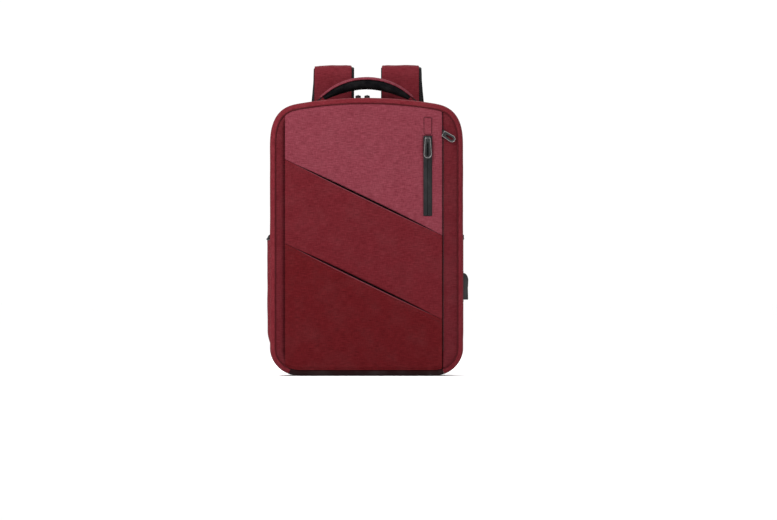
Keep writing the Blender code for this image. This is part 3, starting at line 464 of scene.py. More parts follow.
def startMaterial(name, metallic=0.0, specular=0.35, uv=True):
    material = bpy.data.materials.new(name)
    material.use_nodes = True
    tree = material.node_tree
    shader = tree.nodes["Principled BSDF"]
    shader.inputs["Metallic"].default_value = metallic
    shader.inputs["Specular IOR Level"].default_value = specular
    if uv:
        source = tree.nodes.new("ShaderNodeUVMap")
        source.uv_map = "cloth"
        return material, tree, shader, source.outputs["UV"]
    return material, tree, shader, tree.nodes.new("ShaderNodeTexCoord").outputs["Object"]


def shade(tone, share):
    return tuple(c * share for c in tone)


def settleDust(tree, place, colour, amount, dust=(0.16, 0.15, 0.15)):
    wear = placeGroup(tree, wearGroup, place)
    return blendColour(tree, calc(tree, "MULTIPLY", wear["Dust"], amount), colour, dust)


def finishShader(tree, shader, colour, roughness, height, depth, strength, sheen=0.0):
    # the shader's colour and roughness, with a bump as deep as depth
    tree.links.new(colour, shader.inputs["Base Color"])
    tree.links.new(roughness, shader.inputs["Roughness"])
    shader.inputs["Sheen Weight"].default_value = sheen
    bump = tree.nodes.new("ShaderNodeBump")
    bump.inputs["Strength"].default_value = strength
    bump.inputs["Distance"].default_value = depth
    tree.links.new(height, bump.inputs["Height"])
    tree.links.new(bump.outputs["Normal"], shader.inputs["Normal"])


def melangeCloth(name, piece, uv=True, threads=1300.0):
    # heathered polyester: streaky yarn colour, plain weave, a soft dusty bloom
    body = yarns[piece]
    deep, pale = (tuple(a * b for a, b in zip(body, yarns[yarn])) for yarn in ("deep", "pale"))
    material, tree, shader, place = startMaterial(name, specular=0.05, uv=uv)
    yarn = placeGroup(tree, melangeGroup, place)
    weave = placeGroup(tree, weaveGroup, place, Threads=threads)
    colour = blendColour(tree, spread(tree, yarn["Tone"], 0.0, 0.55), deep, body)
    colour = blendColour(tree, spread(tree, yarn["Tone"], 0.5, 1.0), colour, pale)
    colour = blendColour(tree, calc(tree, "MULTIPLY", yarn["Fleck"], 0.25), colour, pale)
    # darker towards the deep yarn in the gaps between threads: painted shade
    colour = blendColour(tree, spread(tree, weave["Gap"], 0.0, 0.7, 0.45, 0.0), colour, deep)
    colour = settleDust(tree, place, colour, 0.03, (0.40, 0.26, 0.27))
    shader.inputs["Sheen Roughness"].default_value = 0.45
    shader.inputs["Sheen Tint"].default_value = (*pale, 1.0)
    height = calc(tree, "MULTIPLY_ADD", yarn["Tone"], 0.45, weave["Height"])
    finishShader(tree, shader, colour, spread(tree, yarn["Tone"], 0.0, 1.0, 0.9, 0.72), height,
                 0.00022, 0.8, 0.02)
    return material


def blackCloth(name, tone, uv=True, threads=1100.0, pale=2.6, specular=0.07):
    material, tree, shader, place = startMaterial(name, specular=specular, uv=uv)
    weave = placeGroup(tree, weaveGroup, place, Threads=threads)
    yarn = placeGroup(tree, melangeGroup, place)
    colour = blendColour(tree, yarn["Tone"], tone, shade(tone, pale))
    # darker in the gaps between threads: painted shade
    colour = blendColour(tree, spread(tree, weave["Gap"], 0.0, 0.8, 0.7, 0.0), colour, shade(tone, 0.3))
    colour = settleDust(tree, place, colour, 0.14)
    finishShader(tree, shader, colour, spread(tree, weave["Height"], 0.0, 1.0, 0.92, 0.7),
                 weave["Height"], 0.0003, 0.9, 0.015)
    return material


def airMesh(name, tone, pitch=290.0):
    # spacer mesh: a hexagonal net over near-black holes, painted shade of the depth under the net
    material, tree, shader, place = startMaterial(name, specular=0.08, uv=False)
    net = placeGroup(tree, meshGroup, place, Pitch=pitch)["Net"]
    yarn = placeGroup(tree, melangeGroup, place)
    thread = blendColour(tree, yarn["Tone"], tone, shade(tone, 3.0))
    thread = settleDust(tree, place, thread, 0.12)
    # near-black in the holes: painted shade
    colour = blendColour(tree, net, (0.0015, 0.0015, 0.0017), thread)
    finishShader(tree, shader, colour, spread(tree, net, 0.0, 1.0, 1.0, 0.7), net, 0.0012, 0.9, 0.02)
    return material


def ribbedWebbing(name, tone=(0.0065, 0.0062, 0.0068), ribs=780.0, elastic=False):
    # woven webbing: rows of ribs across the strap with a herringbone tilt
    material, tree, shader, place = startMaterial(name, specular=0.14)
    x, y, _ = splitPlace(tree, place, ribs)
    zig = calc(tree, "PINGPONG", x, 2.0)
    slant = calc(tree, "MULTIPLY_ADD", zig, 0.0 if elastic else 0.45, y)
    rib = calc(tree, "SINE", calc(tree, "MULTIPLY", slant, math.pi))
    cross = calc(tree, "SINE", calc(tree, "MULTIPLY", x, math.pi * (0.5 if elastic else 1.0)))
    height = calc(tree, "MULTIPLY_ADD", rib, 0.35, calc(tree, "MULTIPLY_ADD", cross, 0.15, 0.5))
    # darker in the rib troughs and paler on the crests: painted shade and light following the ribs
    colour = blendColour(tree, height, shade(tone, 0.35), shade(tone, 2.6))
    colour = settleDust(tree, place, colour, 0.15, (0.17, 0.16, 0.16))
    finishShader(tree, shader, colour, spread(tree, height, 0.0, 1.0, 0.85, 0.55), height,
                 0.0004, 0.9, 0.02)
    return material


def scuffedColour(tree, place, tone, share, dust):
    # moulded and coated things: paler where they are rubbed
    scuff = placeGroup(tree, wearGroup, place)["Scuff"]
    colour = blendColour(tree, scuff, tone, shade(tone, share))
    return scuff, settleDust(tree, place, colour, dust, (0.2, 0.2, 0.2))


def coatedFilm(name, tone):
    # matt film over zip tape, with a hint of the weave under it
    material, tree, shader, place = startMaterial(name, specular=0.2)
    weave = placeGroup(tree, weaveGroup, place, Threads=900.0)
    scuff, colour = scuffedColour(tree, place, tone, 1.7, 0.12)
    finishShader(tree, shader, colour, spread(tree, scuff, 0.0, 1.0, 0.38, 0.55), weave["Height"],
                 0.00006, 0.6)
    return material


def mouldedPlastic(name, tone, roughness=0.38, specular=0.32):
    material, tree, shader, place = startMaterial(name, specular=specular, uv=False)
    grain = noiseAt(tree, place, 1500.0, 2.0)
    _, colour = scuffedColour(tree, place, tone, 2.2, 0.1)
    sheen = spread(tree, grain, 0.3, 0.7, roughness - 0.08, roughness + 0.16)
    finishShader(tree, shader, colour, sheen, grain, 0.00008, 0.5)
    return material


def satinMetal(name, tone, roughness=0.26):
    material, tree, shader, place = startMaterial(name, metallic=1.0, uv=False)
    wear = placeGroup(tree, wearGroup, place, Scale=2.0)
    brushed = noiseAt(tree, stretchPlace(tree, place, (300, 2600, 300)), 1.0, 2.0)
    colour = blendColour(tree, wear["Scuff"], tone, shade(tone, 0.72))
    sheen = spread(tree, brushed, 0.3, 0.7, roughness - 0.08, roughness + 0.14)
    finishShader(tree, shader, colour, sheen, brushed, 0.00003, 0.4)
    return material


def threadFinish(name, tone):
    # twisted sewing thread
    material, tree, shader, place = startMaterial(name, specular=0.10, uv=False)
    x, y, z = splitPlace(tree, place, 2600.0)
    twist = calc(tree, "SINE", calc(tree, "ADD", calc(tree, "ADD", x, y), z))
    height = calc(tree, "MULTIPLY_ADD", twist, 0.5, 0.5)
    # darker in the grooves of the twist: painted shade
    colour = blendColour(tree, height, shade(tone, 0.55), tone)
    finishShader(tree, shader, colour, spread(tree, height, 0.0, 1.0, 0.75, 0.5), height, 0.0001, 0.7)
    return material


yarns = dict(               # colours in the weave: one wine cloth in lit and shaded copies, top lightest, middle and bottom darker downwards and the bands beside the pleats darker than the walls, painted shade of light from above
    top=(0.141, 0.0243, 0.0355),
    middle=(0.089, 0.0077, 0.0114),
    bottom=(0.072, 0.0041, 0.0059),
    side=(0.110, 0.0106, 0.0156),
    band=(0.077, 0.0074, 0.0110),
    strap=(0.106, 0.0108, 0.0158),
    piping=(0.050, 0.0048, 0.0068),
    # paler wine for the rolls along the tuck mouths: painted highlight where the turned edges catch the
    # light
    fold=(0.135, 0.0290, 0.0370),
    deep=(0.67, 0.56, 0.58),    # shares of those, for the deeper and the paler yarn; the deeper share also darkens the gaps between threads as painted shade
    pale=(1.31, 1.58, 1.52),
)
wineCloth = {}
for cutPiece in ("top", "middle", "bottom", "side", "band", "strap", "piping", "fold"):
    wineCloth[cutPiece] = melangeCloth(f"wineCloth{cutPiece.title()}", cutPiece)
turnedCloth = melangeCloth("wineClothTurned", "side", uv=False)
bindingCloth = blackCloth("blackBaseCloth", (0.0105, 0.0102, 0.0110))
# darker and redder than the black cloth, matched to the shadowed underside: painted shade
footCloth = blackCloth("darkBaseCloth", (0.0075, 0.0014, 0.0016))
backCloth = blackCloth("blackBackCloth", (0.0095, 0.0092, 0.0098), uv=False, threads=900.0)
liningCloth = blackCloth("greyLining", (0.024, 0.024, 0.028), threads=1900.0, pale=1.6)
gripCloth = blackCloth("gripWeave", (0.0014, 0.0014, 0.0018), threads=520.0, pale=3.0, specular=0.03)
zipTape = blackCloth("zipTape", (0.0040, 0.0038, 0.0042), threads=1500.0)
padMesh = airMesh("airMesh", (0.0150, 0.0140, 0.0148))
strapMesh = airMesh("strapMesh", (0.0062, 0.0054, 0.0058), 330.0)
webbing = ribbedWebbing("ribbedWebbing")
elasticBand = ribbedWebbing("elasticBinding", (0.0040, 0.0038, 0.0042), 620.0, True)
zipFilm = coatedFilm("coatedZip", (0.0040, 0.0040, 0.0049))
blackPlastic = mouldedPlastic("mouldedPlastic", (0.0055, 0.0052, 0.0058))
# twice as pale as the moulded plastic: painted highlight on the hood's rounded top
hoodPlasticPaintedHighlight = mouldedPlastic("hoodPlasticPaintedHighlight", (0.012, 0.0105, 0.0115), 0.30, 0.24)
coilPlastic = mouldedPlastic("zipCoil", (0.0060, 0.0058, 0.0066), 0.3)
silverRim = satinMetal("silverRim", (0.20, 0.19, 0.19))
gunmetal = satinMetal("gunmetal", (0.030, 0.028, 0.030), 0.34)
socketMetal = satinMetal("socketMetal", (0.55, 0.55, 0.57), 0.22)
wineThread = threadFinish("wineThread", (0.105, 0.013, 0.019))
darkThread = threadFinish("darkThread", (0.030, 0.003, 0.005))
blackThread = threadFinish("blackThread", (0.022, 0.022, 0.024))
print("materials made")


# stitches and coil teeth: small spindles, built in batches
def spindlePiece(name, places, rings=4):
    bm = bmesh.new()
    for first in range(0, len(places), 40):
        batch = bmesh.new()
        for where in places[first:first + 40]:
            bmesh.ops.create_uvsphere(batch, u_segments=5, v_segments=rings, radius=1.0, matrix=where)
        mesh = bpy.data.meshes.new("batch")
        batch.to_mesh(mesh)
        batch.free()
        bm.from_mesh(mesh)
        bpy.data.meshes.remove(mesh)
    return makeObject(name, bm)


def lyingAlong(centre, along, up, size):
    # a place for a shape: its own z along, its own y up
    side = up.cross(along).normalized()
    axes = Matrix((side, along.cross(side), along)).transposed().to_4x4()
    return Matrix.Translation(centre) @ axes @ Matrix.Diagonal((*size, 1))


stitches = dict(            # of each seam: pitch, length and thickness of a stitch
    tuck=(0.0030, 0.0021, 0.00026),
    mainZip=(0.0034, 0.0026, 0.0003),
    patch=(0.0021, 0.0020, 0.00052),
    frontZip=(0.0030, 0.0022, 0.00024),
    flange=(0.0026, 0.0019, 0.00028),
    handle=(0.0030, 0.0023, 0.0003),
    strap=(0.0034, 0.0026, 0.0003),
    tail=(0.0024, 0.0018, 0.0003),
    anchor=(0.0027, 0.0021, 0.00032),
    yoke=(0.0032, 0.0025, 0.00032),
    sleeveHem=(0.0034, 0.0026, 0.00034),
    sleeveSeam=(0.0030, 0.0023, 0.0003),
    binding=(0.0026, 0.0019, 0.00028),
    laptop=(0.0026, 0.0019, 0.0003),
)


def stitchLine(name, points, normal, body, thread, style):
    pitch, reach, thick = style
    length = sum((b - a).length for a, b in zip(points, points[1:]))
    course = evenCourse(points, max(2, int(length / pitch)))
    places = []
    for a, b in zip(course, course[1:]):
        centre = a.lerp(b, 0.5)
        up = normal(centre) if callable(normal) else Vector(normal)
        places.append(lyingAlong(centre, (b - a).normalized(), up, (thick, thick * 0.8, reach / 2)))
    return finishPiece(spindlePiece(name, places), body, materials=[thread])


# front face: three padded panels with slanted tucks between them, and the side bands
front = dict(
    slope=-0.484,               # of both tucks
    tucks=(0.2836, 0.1489),     # their heights on the centre line
    lens=((-0.112, 0.111), (-0.1135, 0.106)),   # where each tuck's dark gap starts and ends
    gap=(0.0004, 0.0036),       # narrowest and widest part of that gap
    lip=(0.0007, 0.0026),       # roll of the turned edges, at the ends and in the middle
    crown=0.0007,               # padding of each panel
    lipProud=0.0007,            # a lower panel's mouth over the panel above
    shade=0.0016,               # how far the panel above dips behind that mouth
    valley=(0.0034, 0.0016),    # how far each side band dips beside its pleat
    fold=(0.0002, 0.00075),     # roll of cloth along each mouth, painted paler as a highlight on the turned edge
    cloth=0.0013,
)
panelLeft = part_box("front_panel_middle")[0].x
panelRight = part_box("front_panel_middle")[1].x
zipLow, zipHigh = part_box("front_zip_tape_coated")
patchLow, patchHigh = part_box("zip_end_patch")


def lensShare(x, tuck):
    start, end = front["lens"][tuck]
    t = (x - start) / (end - start)
    return 0.0 if t <= 0 or t >= 1 else (1 - abs(2 * t - 1) ** 2.6)


def tuckLine(x, tuck):
    return front["tucks"][tuck] + front["slope"] * x


def tuckHalfGap(x, tuck):
    narrow, wide = front["gap"]
    return (narrow + (wide - narrow) * lensShare(x, tuck)) / 2


def zipBed(x, z):
    # 1 inside the bed of the front zip, falling to 0 round it
    outX = max(zipLow.x - x, x - zipHigh.x, 0.0)
    outZ = max(zipLow.z - z, z - zipHigh.z, 0.0)
    return 1 - smoothstep(math.hypot(outX, outZ) / 0.0016)


def panelPlace(lowEdge, highEdge, lowTuck, highTuck):
    # carries a grid to a panel between two edges; an edge is a seam, or a tuck by its number
    lipThin, lipFull = front["lip"]

    def place(u, v):
        x = panelLeft + (panelRight - panelLeft) * ease(u)
        low, high = lowEdge(x), highEdge(x)
        z = low + (high - low) * ease(v)
        fromLow, fromHigh = z - low, high - z
        fromSide = min(x - panelLeft, panelRight - x)
        fill = min(1, fromLow / 0.05, fromHigh / 0.05, fromSide / 0.04)
        y = faceY - front["crown"] * smoothstep(fill) * (1 - zipBed(x, z))
        y -= 0.00022 * soften(x, 0, z, 34) + 0.00012 * soften(x, 1, z * 2.2, 90)
        y += quarterRoll(fromSide, 0.0016) + 0.0006 * math.exp(-fromSide / 0.004)
        for tuck, away, isLow in ((lowTuck, fromLow, True), (highTuck, fromHigh, False)):
            if tuck is None:
                y += (frontSeamY - faceY) * (1 - smoothstep(away / 0.006))
                continue
            share = lensShare(x, tuck)
            y += quarterRoll(away, lipThin + (lipFull - lipThin) * share)
            if isLow:
                y += front["shade"] * (0.3 + 0.7 * share) * math.exp(-away / 0.0045)
            else:
                y -= front["lipProud"] * share * math.exp(-away / 0.006)
        return Vector((x, y + 0.0012 * zipBed(x, z), z))

    return place


def tuckEdge(tuck, side):
    return lambda x: tuckLine(x, tuck) + side * tuckHalfGap(x, tuck)


def makeFrontPanels():
    seamGap = 0.0004
    pieces = (("Top", tuckEdge(0, 1), lambda x: seamTop(x) - seamGap, 0, None, 150),
              ("Middle", tuckEdge(1, 1), tuckEdge(0, -1), 1, 0, 90),
              ("Bottom", lambda x: seamBottom(x) + seamGap, tuckEdge(1, -1), None, 1, 120))
    for name, low, high, lowTuck, highTuck, rows in pieces:
        clothPiece(f"frontPanel{name}", (200, rows), panelPlace(low, high, lowTuck, highTuck),
                   front["cloth"], "front_shell", [f"front_panel_{name.lower()}"],
                   [wineCloth[name.lower()], liningCloth], flat=True)
    # a row of stitches under each mouth, where the lower panel's edge is turned
    for tuck in (0, 1):
        points = [Vector((x, faceY - front["crown"] * 0.4, tuckLine(x, tuck) - 0.0062))
                  for x in np.linspace(panelLeft + 0.004, panelRight - 0.004, 60)]
        fold = []
        for x in np.linspace(*front["lens"][tuck], 160):
            y = faceY + 0.0005 - front["lipProud"] * lensShare(x, tuck)
            fold.append(Vector((x, y, tuckLine(x, tuck) - tuckHalfGap(x, tuck) - 0.0002)))
        thin, full = front["fold"]
        # the roll's paler wine cloth is a painted highlight on the turned edge
        roll = sweptTube(f"tuckFold{tuck}", fold,
                         lambda v: thin + (full - thin) * math.sin(math.pi * v) ** 0.6, 8)
        finishPiece(roll, "front_shell", materials=[wineCloth["fold"]])
        stitchLine(f"tuckStitches{tuck}", points, (0, -1, 0), "front_shell", wineThread,
                   stitches["tuck"])


def makeBand(side, sign):
    # the side band beyond a pleat: from the seam, over a soft ridge, down under the panel's fold
    node = f"front_band_{side}"
    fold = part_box(node)[1 if sign < 0 else 0].x
    topX = fold - sign * 0.0005
    loop = [p for p in seamLoop if p.x * sign > topX * sign]
    loop.sort(key=lambda p: p.z)
    edge = evenCourse(loop, 160)
    foldLow, foldHigh = seamBottom(topX), seamTop(topX)
    inner = fold - sign * 0.0020
    dip = front["valley"][0 if sign < 0 else 1]

    def place(u, v):
        out = edge[round(v * 160)]
        z = foldLow + (foldHigh - foldLow) * v
        t = ease(u) if sign < 0 else ease(1 - u)
        x = out.x + (inner - out.x) * t
        height = out.z + (z - out.z) * t
        ridge = math.sin(math.pi * min(1.0, t * 1.12)) ** 0.8 if t * 1.12 < 1 else 0.0
        ends = smoothstep(min(v, 1 - v) / 0.06)
        y = frontSeamY - 0.0015 * ridge * ends - 0.0002 * soften(x, 3, height, 40)
        y += dip * smoothstep((t - 0.50) / 0.50) ** 1.3 * ends + 0.0004
        return Vector((x, y, height))

    clothPiece(f"frontBand{side.title()}", (28, 160), place, front["cloth"],
               "front_shell", [node], [wineCloth["band"], liningCloth], flat=True)


# the walls: gussets with rounded edges into the seams, base, piping and the main zip
walls = dict(
    pucker=0.00025,             # of the cloth along the seams
    piping=0.0011,
    tapeStitch=0.0034,          # topstitching beside the zip, from the gusset's edge
    toothPitch=0.0017,
)


def roundedEdge(share, flatY, seamY, reach):
    # quarter round from the wall's face to the seam
    a = share * math.pi / 2
    return reach * (1 - math.cos(a)), flatY + (seamY - flatY) * math.sin(a)


def wallPlace(start, run, openY, flatY, seamY, rearward):
    # v from the seam (rear) or the zip (front) in the sense that makes the faces point out
    reach = bag["seamInset"] - 0.0006

    def place(u, v):
        s = start + run * u
        w = 1 - v if rearward else v
        if w < 0.4:
            inset, y = 0.0, openY + (flatY - openY) * w / 0.4
        else:
            inset, y = roundedEdge((w - 0.4) / 0.6, flatY, seamY, reach)
        x, z, _, _ = onOutline(s)
        belly = math.sin(math.pi * min(1, w / 0.5)) if w < 0.5 else 0.0
        inset -= 0.0003 * soften(x, y, z, 26) * smoothstep(w * 8) + 0.0003 * belly
        near = smoothstep((w - 0.72) / 0.2)
        inset += walls["pucker"] * near * math.sin(2 * math.pi * s / 0.0128)
        turned = 0.0007 * (1 - smoothstep(w / 0.05))
        return wallPoint(s, inset + turned, y)

    return place


def makeWalls():
    flatFront = faceY + bag["edgeRound"]
    flatRear = rearSeamY - bag["edgeRound"]
    for end, wallY, flatY, seamY in (("front", frontWallY, flatFront, frontSeamY),
                                     ("rear", rearWallY, flatRear, rearSeamY)):
        clothPiece(f"{end}Gusset", (520, 34),
                   wallPlace(wallStart, wallRun, wallY, flatY, seamY, end == "rear"), bag["wall"],
                   f"{end}_shell", [f"{end}_gusset"], [wineCloth["side"], liningCloth])

    reach = bag["seamInset"] - 0.0006
    baseRun = 2 * wallStart - 0.0006

    def basePlace(u, v):
        s = (u - 0.5) * baseRun
        if v < 0.3:
            inset, y = roundedEdge(1 - v / 0.3, flatRear, rearSeamY, reach)
        elif v > 0.7:
            inset, y = roundedEdge((v - 0.7) / 0.3, flatFront, frontSeamY, reach)
        else:
            inset, y = 0.0, flatRear + (flatFront - flatRear) * (v - 0.3) / 0.4
        return wallPoint(s % girth, inset, y)

    clothPiece("baseCloth", (180, 60), basePlace, bag["wall"], "rear_shell",
               ["base_panel"], [footCloth, liningCloth])

    cordRun = np.linspace(wallStart + 0.002, wallStart + wallRun - 0.002, 420)
    pipingInset = bag["seamInset"] - walls["piping"] * 0.35
    points = [wallPoint(s, pipingInset, frontSeamY - walls["piping"] * 0.15) for s in cordRun]
    piping = sweptTube("frontPiping", points, walls["piping"], 10)
    finishPiece(piping, "front_shell", ["front_piping"],
                [wineCloth["piping"]])
    points = [wallPoint(s, pipingInset, rearSeamY + 0.0004) for s in cordRun]
    finishPiece(sweptTube("rearPiping", points, walls["piping"], 10), "rear_shell",
                materials=[bindingCloth])

    def outwards(point):
        gaps = (outline[:, 0] - point.x) ** 2 + (outline[:, 1] - point.z) ** 2
        _, _, outX, outZ = onOutline(float(runs[int(np.argmin(gaps))]))
        return Vector((outX, 0, outZ))

    for name, body, y in (("frontZipStitches", "front_shell", frontWallY - walls["tapeStitch"]),
                          ("rearZipStitches", "rear_shell", rearWallY + walls["tapeStitch"])):
        stitchRun = np.linspace(wallStart + 0.004, wallStart + wallRun - 0.004, 400)
        points = [wallPoint(s, -0.0001, y) for s in stitchRun]
        stitchLine(name, points, outwards, body, wineThread, stitches["mainZip"])


def makeMainZip():
    # tapes with turned edges, and a nylon coil on each, which mesh at the zip's plane
    lap = 0.0003
    for end, fromY, toY in (("front", zipY - lap, frontWallY + lap),
                            ("rear", rearWallY - lap, zipY + lap)):
        def place(u, v):
            bulge = 0.0003 * math.sin(math.pi * v)
            return wallPoint(wallStart + wallRun * u, 0.0011 - bulge, fromY + (toY - fromY) * v)

        clothPiece(f"{end}ZipTape", (460, 5), place, 0.0009, f"{end}_shell",
                   [f"{end}_zip_tape"], [zipTape])
    count = int(wallRun / walls["toothPitch"])
    for end, side in (("front", -1), ("rear", 1)):
        places = []
        for index in range(count):
            s = wallStart + wallRun * (index + 0.5 + 0.25 * side) / count
            _, _, outX, outZ = onOutline(s)
            places.append(lyingAlong(wallPoint(s, 0.0008, zipY + side * 0.0009), Vector((0, 1, 0)),
                                     Vector((outX, 0, outZ)), (0.0004, 0.00065, 0.0012)))
        finishPiece(spindlePiece(f"{end}ZipCoil", places), f"{end}_shell",
                    materials=[coilPlastic])


makeFrontPanels()
for side, sign in sides:
    makeBand(side, sign)
makeWalls()
makeMainZip()
print("front face, walls and main zip made")


# flat parts with holes: pulls, buckles
def flatPart(name, loops, thickness, edge, place):
    curve = bpy.data.curves.new(name, "CURVE")
    curve.dimensions = "2D"
    curve.fill_mode = "BOTH"
    curve.extrude = thickness / 2 - edge
    curve.bevel_depth = edge
    curve.bevel_resolution = 2
    curve.offset = -edge
    for loop in loops:
        spline = curve.splines.new("POLY")
        spline.points.add(len(loop) - 1)
        for point, (x, y) in zip(spline.points, loop):
            point.co = (x, y, 0.0, 1.0)
        spline.use_cyclic_u = True
    holder = bpy.data.objects.new(name, curve)
    bpy.context.scene.collection.objects.link(holder)
    bpy.context.view_layer.update()
    evaluated = holder.evaluated_get(bpy.context.evaluated_depsgraph_get())
    mesh = bpy.data.meshes.new_from_object(evaluated)
    bpy.data.objects.remove(holder, do_unlink=True)
    bm = bmesh.new()
    bm.from_mesh(mesh)
    bmesh.ops.remove_doubles(bm, verts=bm.verts, dist=1e-6)
    bmesh.ops.transform(bm, matrix=place, verts=bm.verts)
    bmesh.ops.recalc_face_normals(bm, faces=bm.faces)
    bpy.data.meshes.remove(mesh)
    return makeObject(name, bm)


def rectangle(left, low, right, high):
    return [(left, low), (right, low), (right, high), (left, high)]


def roundedLoop(corners, radius, steps=5, reverse=False):
    # a polygon with round corners
    points = []
    count = len(corners)
    for index in range(count):
        corner = Vector(corners[index])
        before = (Vector(corners[index - 1]) - corner)
        after = (Vector(corners[(index + 1) % count]) - corner)
        cut = min(radius, before.length * 0.45, after.length * 0.45)
        start, end = corner + before.normalized() * cut, corner + after.normalized() * cut
        for step in range(steps + 1):
            t = step / steps
            points.append(tuple(start.lerp(corner, t).lerp(corner.lerp(end, t), t)))
    return list(reversed(points)) if reverse else points


def pullOutline(length, rootWidth, endWidth, inset):
    # tapered pull with a chamfered end; its root is at the top
    root, end = rootWidth / 2 - inset, endWidth / 2 - inset
    foot, shoulder = -length + inset, -length + endWidth * 0.36 + inset * 0.4
    return [(root, 0.0008 - inset), (-root, 0.0008 - inset), (-end, shoulder), (-end * 0.5, foot),
            (end * 0.5, foot), (end, shoulder)]


def makePull(name, node, size, place, rimMetal, thick=0.0022):
    # silver rim round a black body with a long slot
    length, root, end, slot = size
    rim = 0.00115
    outer = roundedLoop(pullOutline(length, root, end, 0.0), 0.0016)
    inner = roundedLoop(pullOutline(length, root, end, rim), 0.0012, reverse=True)
    half = slot / 2
    low, high = -length + 0.0034, -0.0052
    hole = roundedLoop([(half * 0.8, high), (-half * 0.8, high), (-half * 1.15, low + half),
                        (-half * 0.6, low), (half * 0.6, low), (half * 1.15, low + half)], half * 0.8)
    core = roundedLoop(pullOutline(length, root, end, rim - 0.0001), 0.0012)
    frameRing = flatPart(name, [outer, inner], thick, 0.00035, place)
    finishPiece(frameRing, node, [node], [rimMetal], sharp=50)
    middle = flatPart(f"{name}Core", [core, list(reversed(hole))], thick * 0.7, 0.0003, place)
    finishPiece(middle, node, materials=[blackPlastic], sharp=50)


def makeSlider(name, node, axisUp, material):
    # a slider: a bevelled body with a waist, and an arched bridge that holds the pull
    low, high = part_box(node)
    centre, size = (low + high) / 2, high - low
    long = "z" if axisUp == "y" else "y"
    bm = bmesh.new()
    bmesh.ops.create_cube(bm, size=1.0)
    bmesh.ops.subdivide_edges(bm, edges=bm.edges[:], cuts=5, use_grid_fill=True)
    for vert in bm.verts:
        waist = 1 - 0.12 * math.cos(math.pi * getattr(vert.co, long)) ** 2
        vert.co.x *= waist
    bmesh.ops.scale(bm, vec=size, verts=bm.verts)
    bmesh.ops.translate(bm, vec=centre, verts=bm.verts)
    shape = bevelEdges(makeObject(name, bm), 0.0006, 3)
    finishPiece(shape, node, [node], [material])
    along = Vector((0, 0, size.z)) if long == "z" else Vector((0, size.y, 0))
    up = Vector((0, -1, 0)) if axisUp == "y" else Vector((0, 0, 1))
    top = centre + up * (size.y if axisUp == "y" else size.z) / 2
    arch = [top + along * 0.38 * math.cos(a) + up * (0.0030 * math.sin(a) - 0.0004)
            for a in np.linspace(0, math.pi, 15)]
    bridge = sweptTube(f"{name}Bridge", arch, min(0.0011, size.x * 0.3), 8)
    finishPiece(bridge, node, materials=[material])


def turnedX(degrees):
    return Matrix.Rotation(math.radians(degrees), 4, "X")


def jointPlace(name):
    return Vector(next(j for j in frame["joints"] if j["name"] == name)["pos_m"])


def nodeCentre(node):
    low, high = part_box(node)
    return (low + high) / 2


def makeFrontZip():
    # coated film in two strips that meet on a fine groove
    def filmPlace(u, v):
        x = zipLow.x + 0.0002 + (zipHigh.x - zipLow.x - 0.0004) * u
        z = zipLow.z + (zipHigh.z - zipLow.z) * v
        fromMiddle = abs(u - 0.5) * (zipHigh.x - zipLow.x)
        y = faceY - 0.00015 + 0.0009 * groove(fromMiddle, 0.00045)
        y += 0.0009 * smoothstep((fromMiddle - 0.0052) / 0.0018)
        y -= 0.0003 * groove(fromMiddle - 0.0022, 0.0014)
        fromEnd = min(z - zipLow.z, zipHigh.z - z)
        return Vector((x, y + quarterRoll(fromEnd, 0.0006), z))

    clothPiece("coatedZipFilm", (40, 130), filmPlace, 0.0007, "front_shell",
               ["front_zip_tape_coated"], [zipFilm])

    inset = 0.0013              # of the patch's stitches

    def patchPlace(u, v):
        x = patchLow.x + (patchHigh.x - patchLow.x) * ease(u)
        z = patchLow.z - 0.0004 + (patchHigh.z - patchLow.z) * ease(v)
        edge = min(x - patchLow.x, patchHigh.x - x, z - patchLow.z + 0.0004, patchHigh.z - z)
        sink = 0.00030 * groove(edge - inset, 0.0005)
        return Vector((x, faceY - 0.00105 + quarterRoll(edge, 0.0006) + sink, z))

    clothPiece("zipEndPatch", (44, 70), patchPlace, 0.0006, "front_shell",
               ["zip_end_patch"], [wineCloth["top"]], flat=True)
    box = roundedLoop(rectangle(patchLow.x + inset, patchLow.z + inset, patchHigh.x - inset,
                                patchHigh.z - inset), 0.0016)
    row = [Vector((x, faceY - 0.0010, z)) for x, z in box + box[:1]]
    stitchLine("patchStitches", row, (0, -1, 0), "front_shell", darkThread, stitches["patch"])
    for side, sign in sides:
        x = (zipLow.x + zipHigh.x) / 2 + sign * ((zipHigh.x - zipLow.x) / 2 + 0.0022)
        row = [Vector((x, faceY - 0.0002, z)) for z in (zipLow.z - 0.002, zipHigh.z)]
        stitchLine(f"zipStitches{side.title()}", row, (0, -1, 0), "front_shell", wineThread,
                   stitches["frontZip"])


def makeSideZip():
    low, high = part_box("side_zip_tape")

    def place(u, v):
        middle = abs(u - 0.5) * (high.x - low.x)
        y = low.y + 0.0002 * math.sin(math.pi * u)
        return Vector((low.x + (high.x - low.x) * u, y + (0.0006 if middle < 0.0004 else 0.0),
                       low.z + (high.z - low.z) * v))

    clothPiece("sideZipTape", (10, 90), place, 0.0008, "front_shell",
               ["side_zip_tape"], [zipTape])
    centre = (low.x + high.x) / 2
    places = []
    for index in range(int((high.z - low.z) / 0.0018)):
        spot = Vector((centre, low.y - 0.0003, low.z + 0.001 + index * 0.0018))
        places.append(lyingAlong(spot, Vector((1, 0, 0)), Vector((0, -1, 0)), (0.0005, 0.0005, 0.0013)))
    finishPiece(spindlePiece("sideZipCoil", places), "front_shell",
                materials=[coilPlastic])


zips = dict(                # each pull: its length, its width at the root and at the end, its slot
    frontPull=(0.0320, 0.0090, 0.0130, 0.0038),
    sidePull=(0.0215, 0.0100, 0.0114, 0.0036),
    mainPull=(0.0220, 0.0072, 0.0090, 0.0030),
    sideLean=-58,               # degrees that the side pull hangs away from upright
)


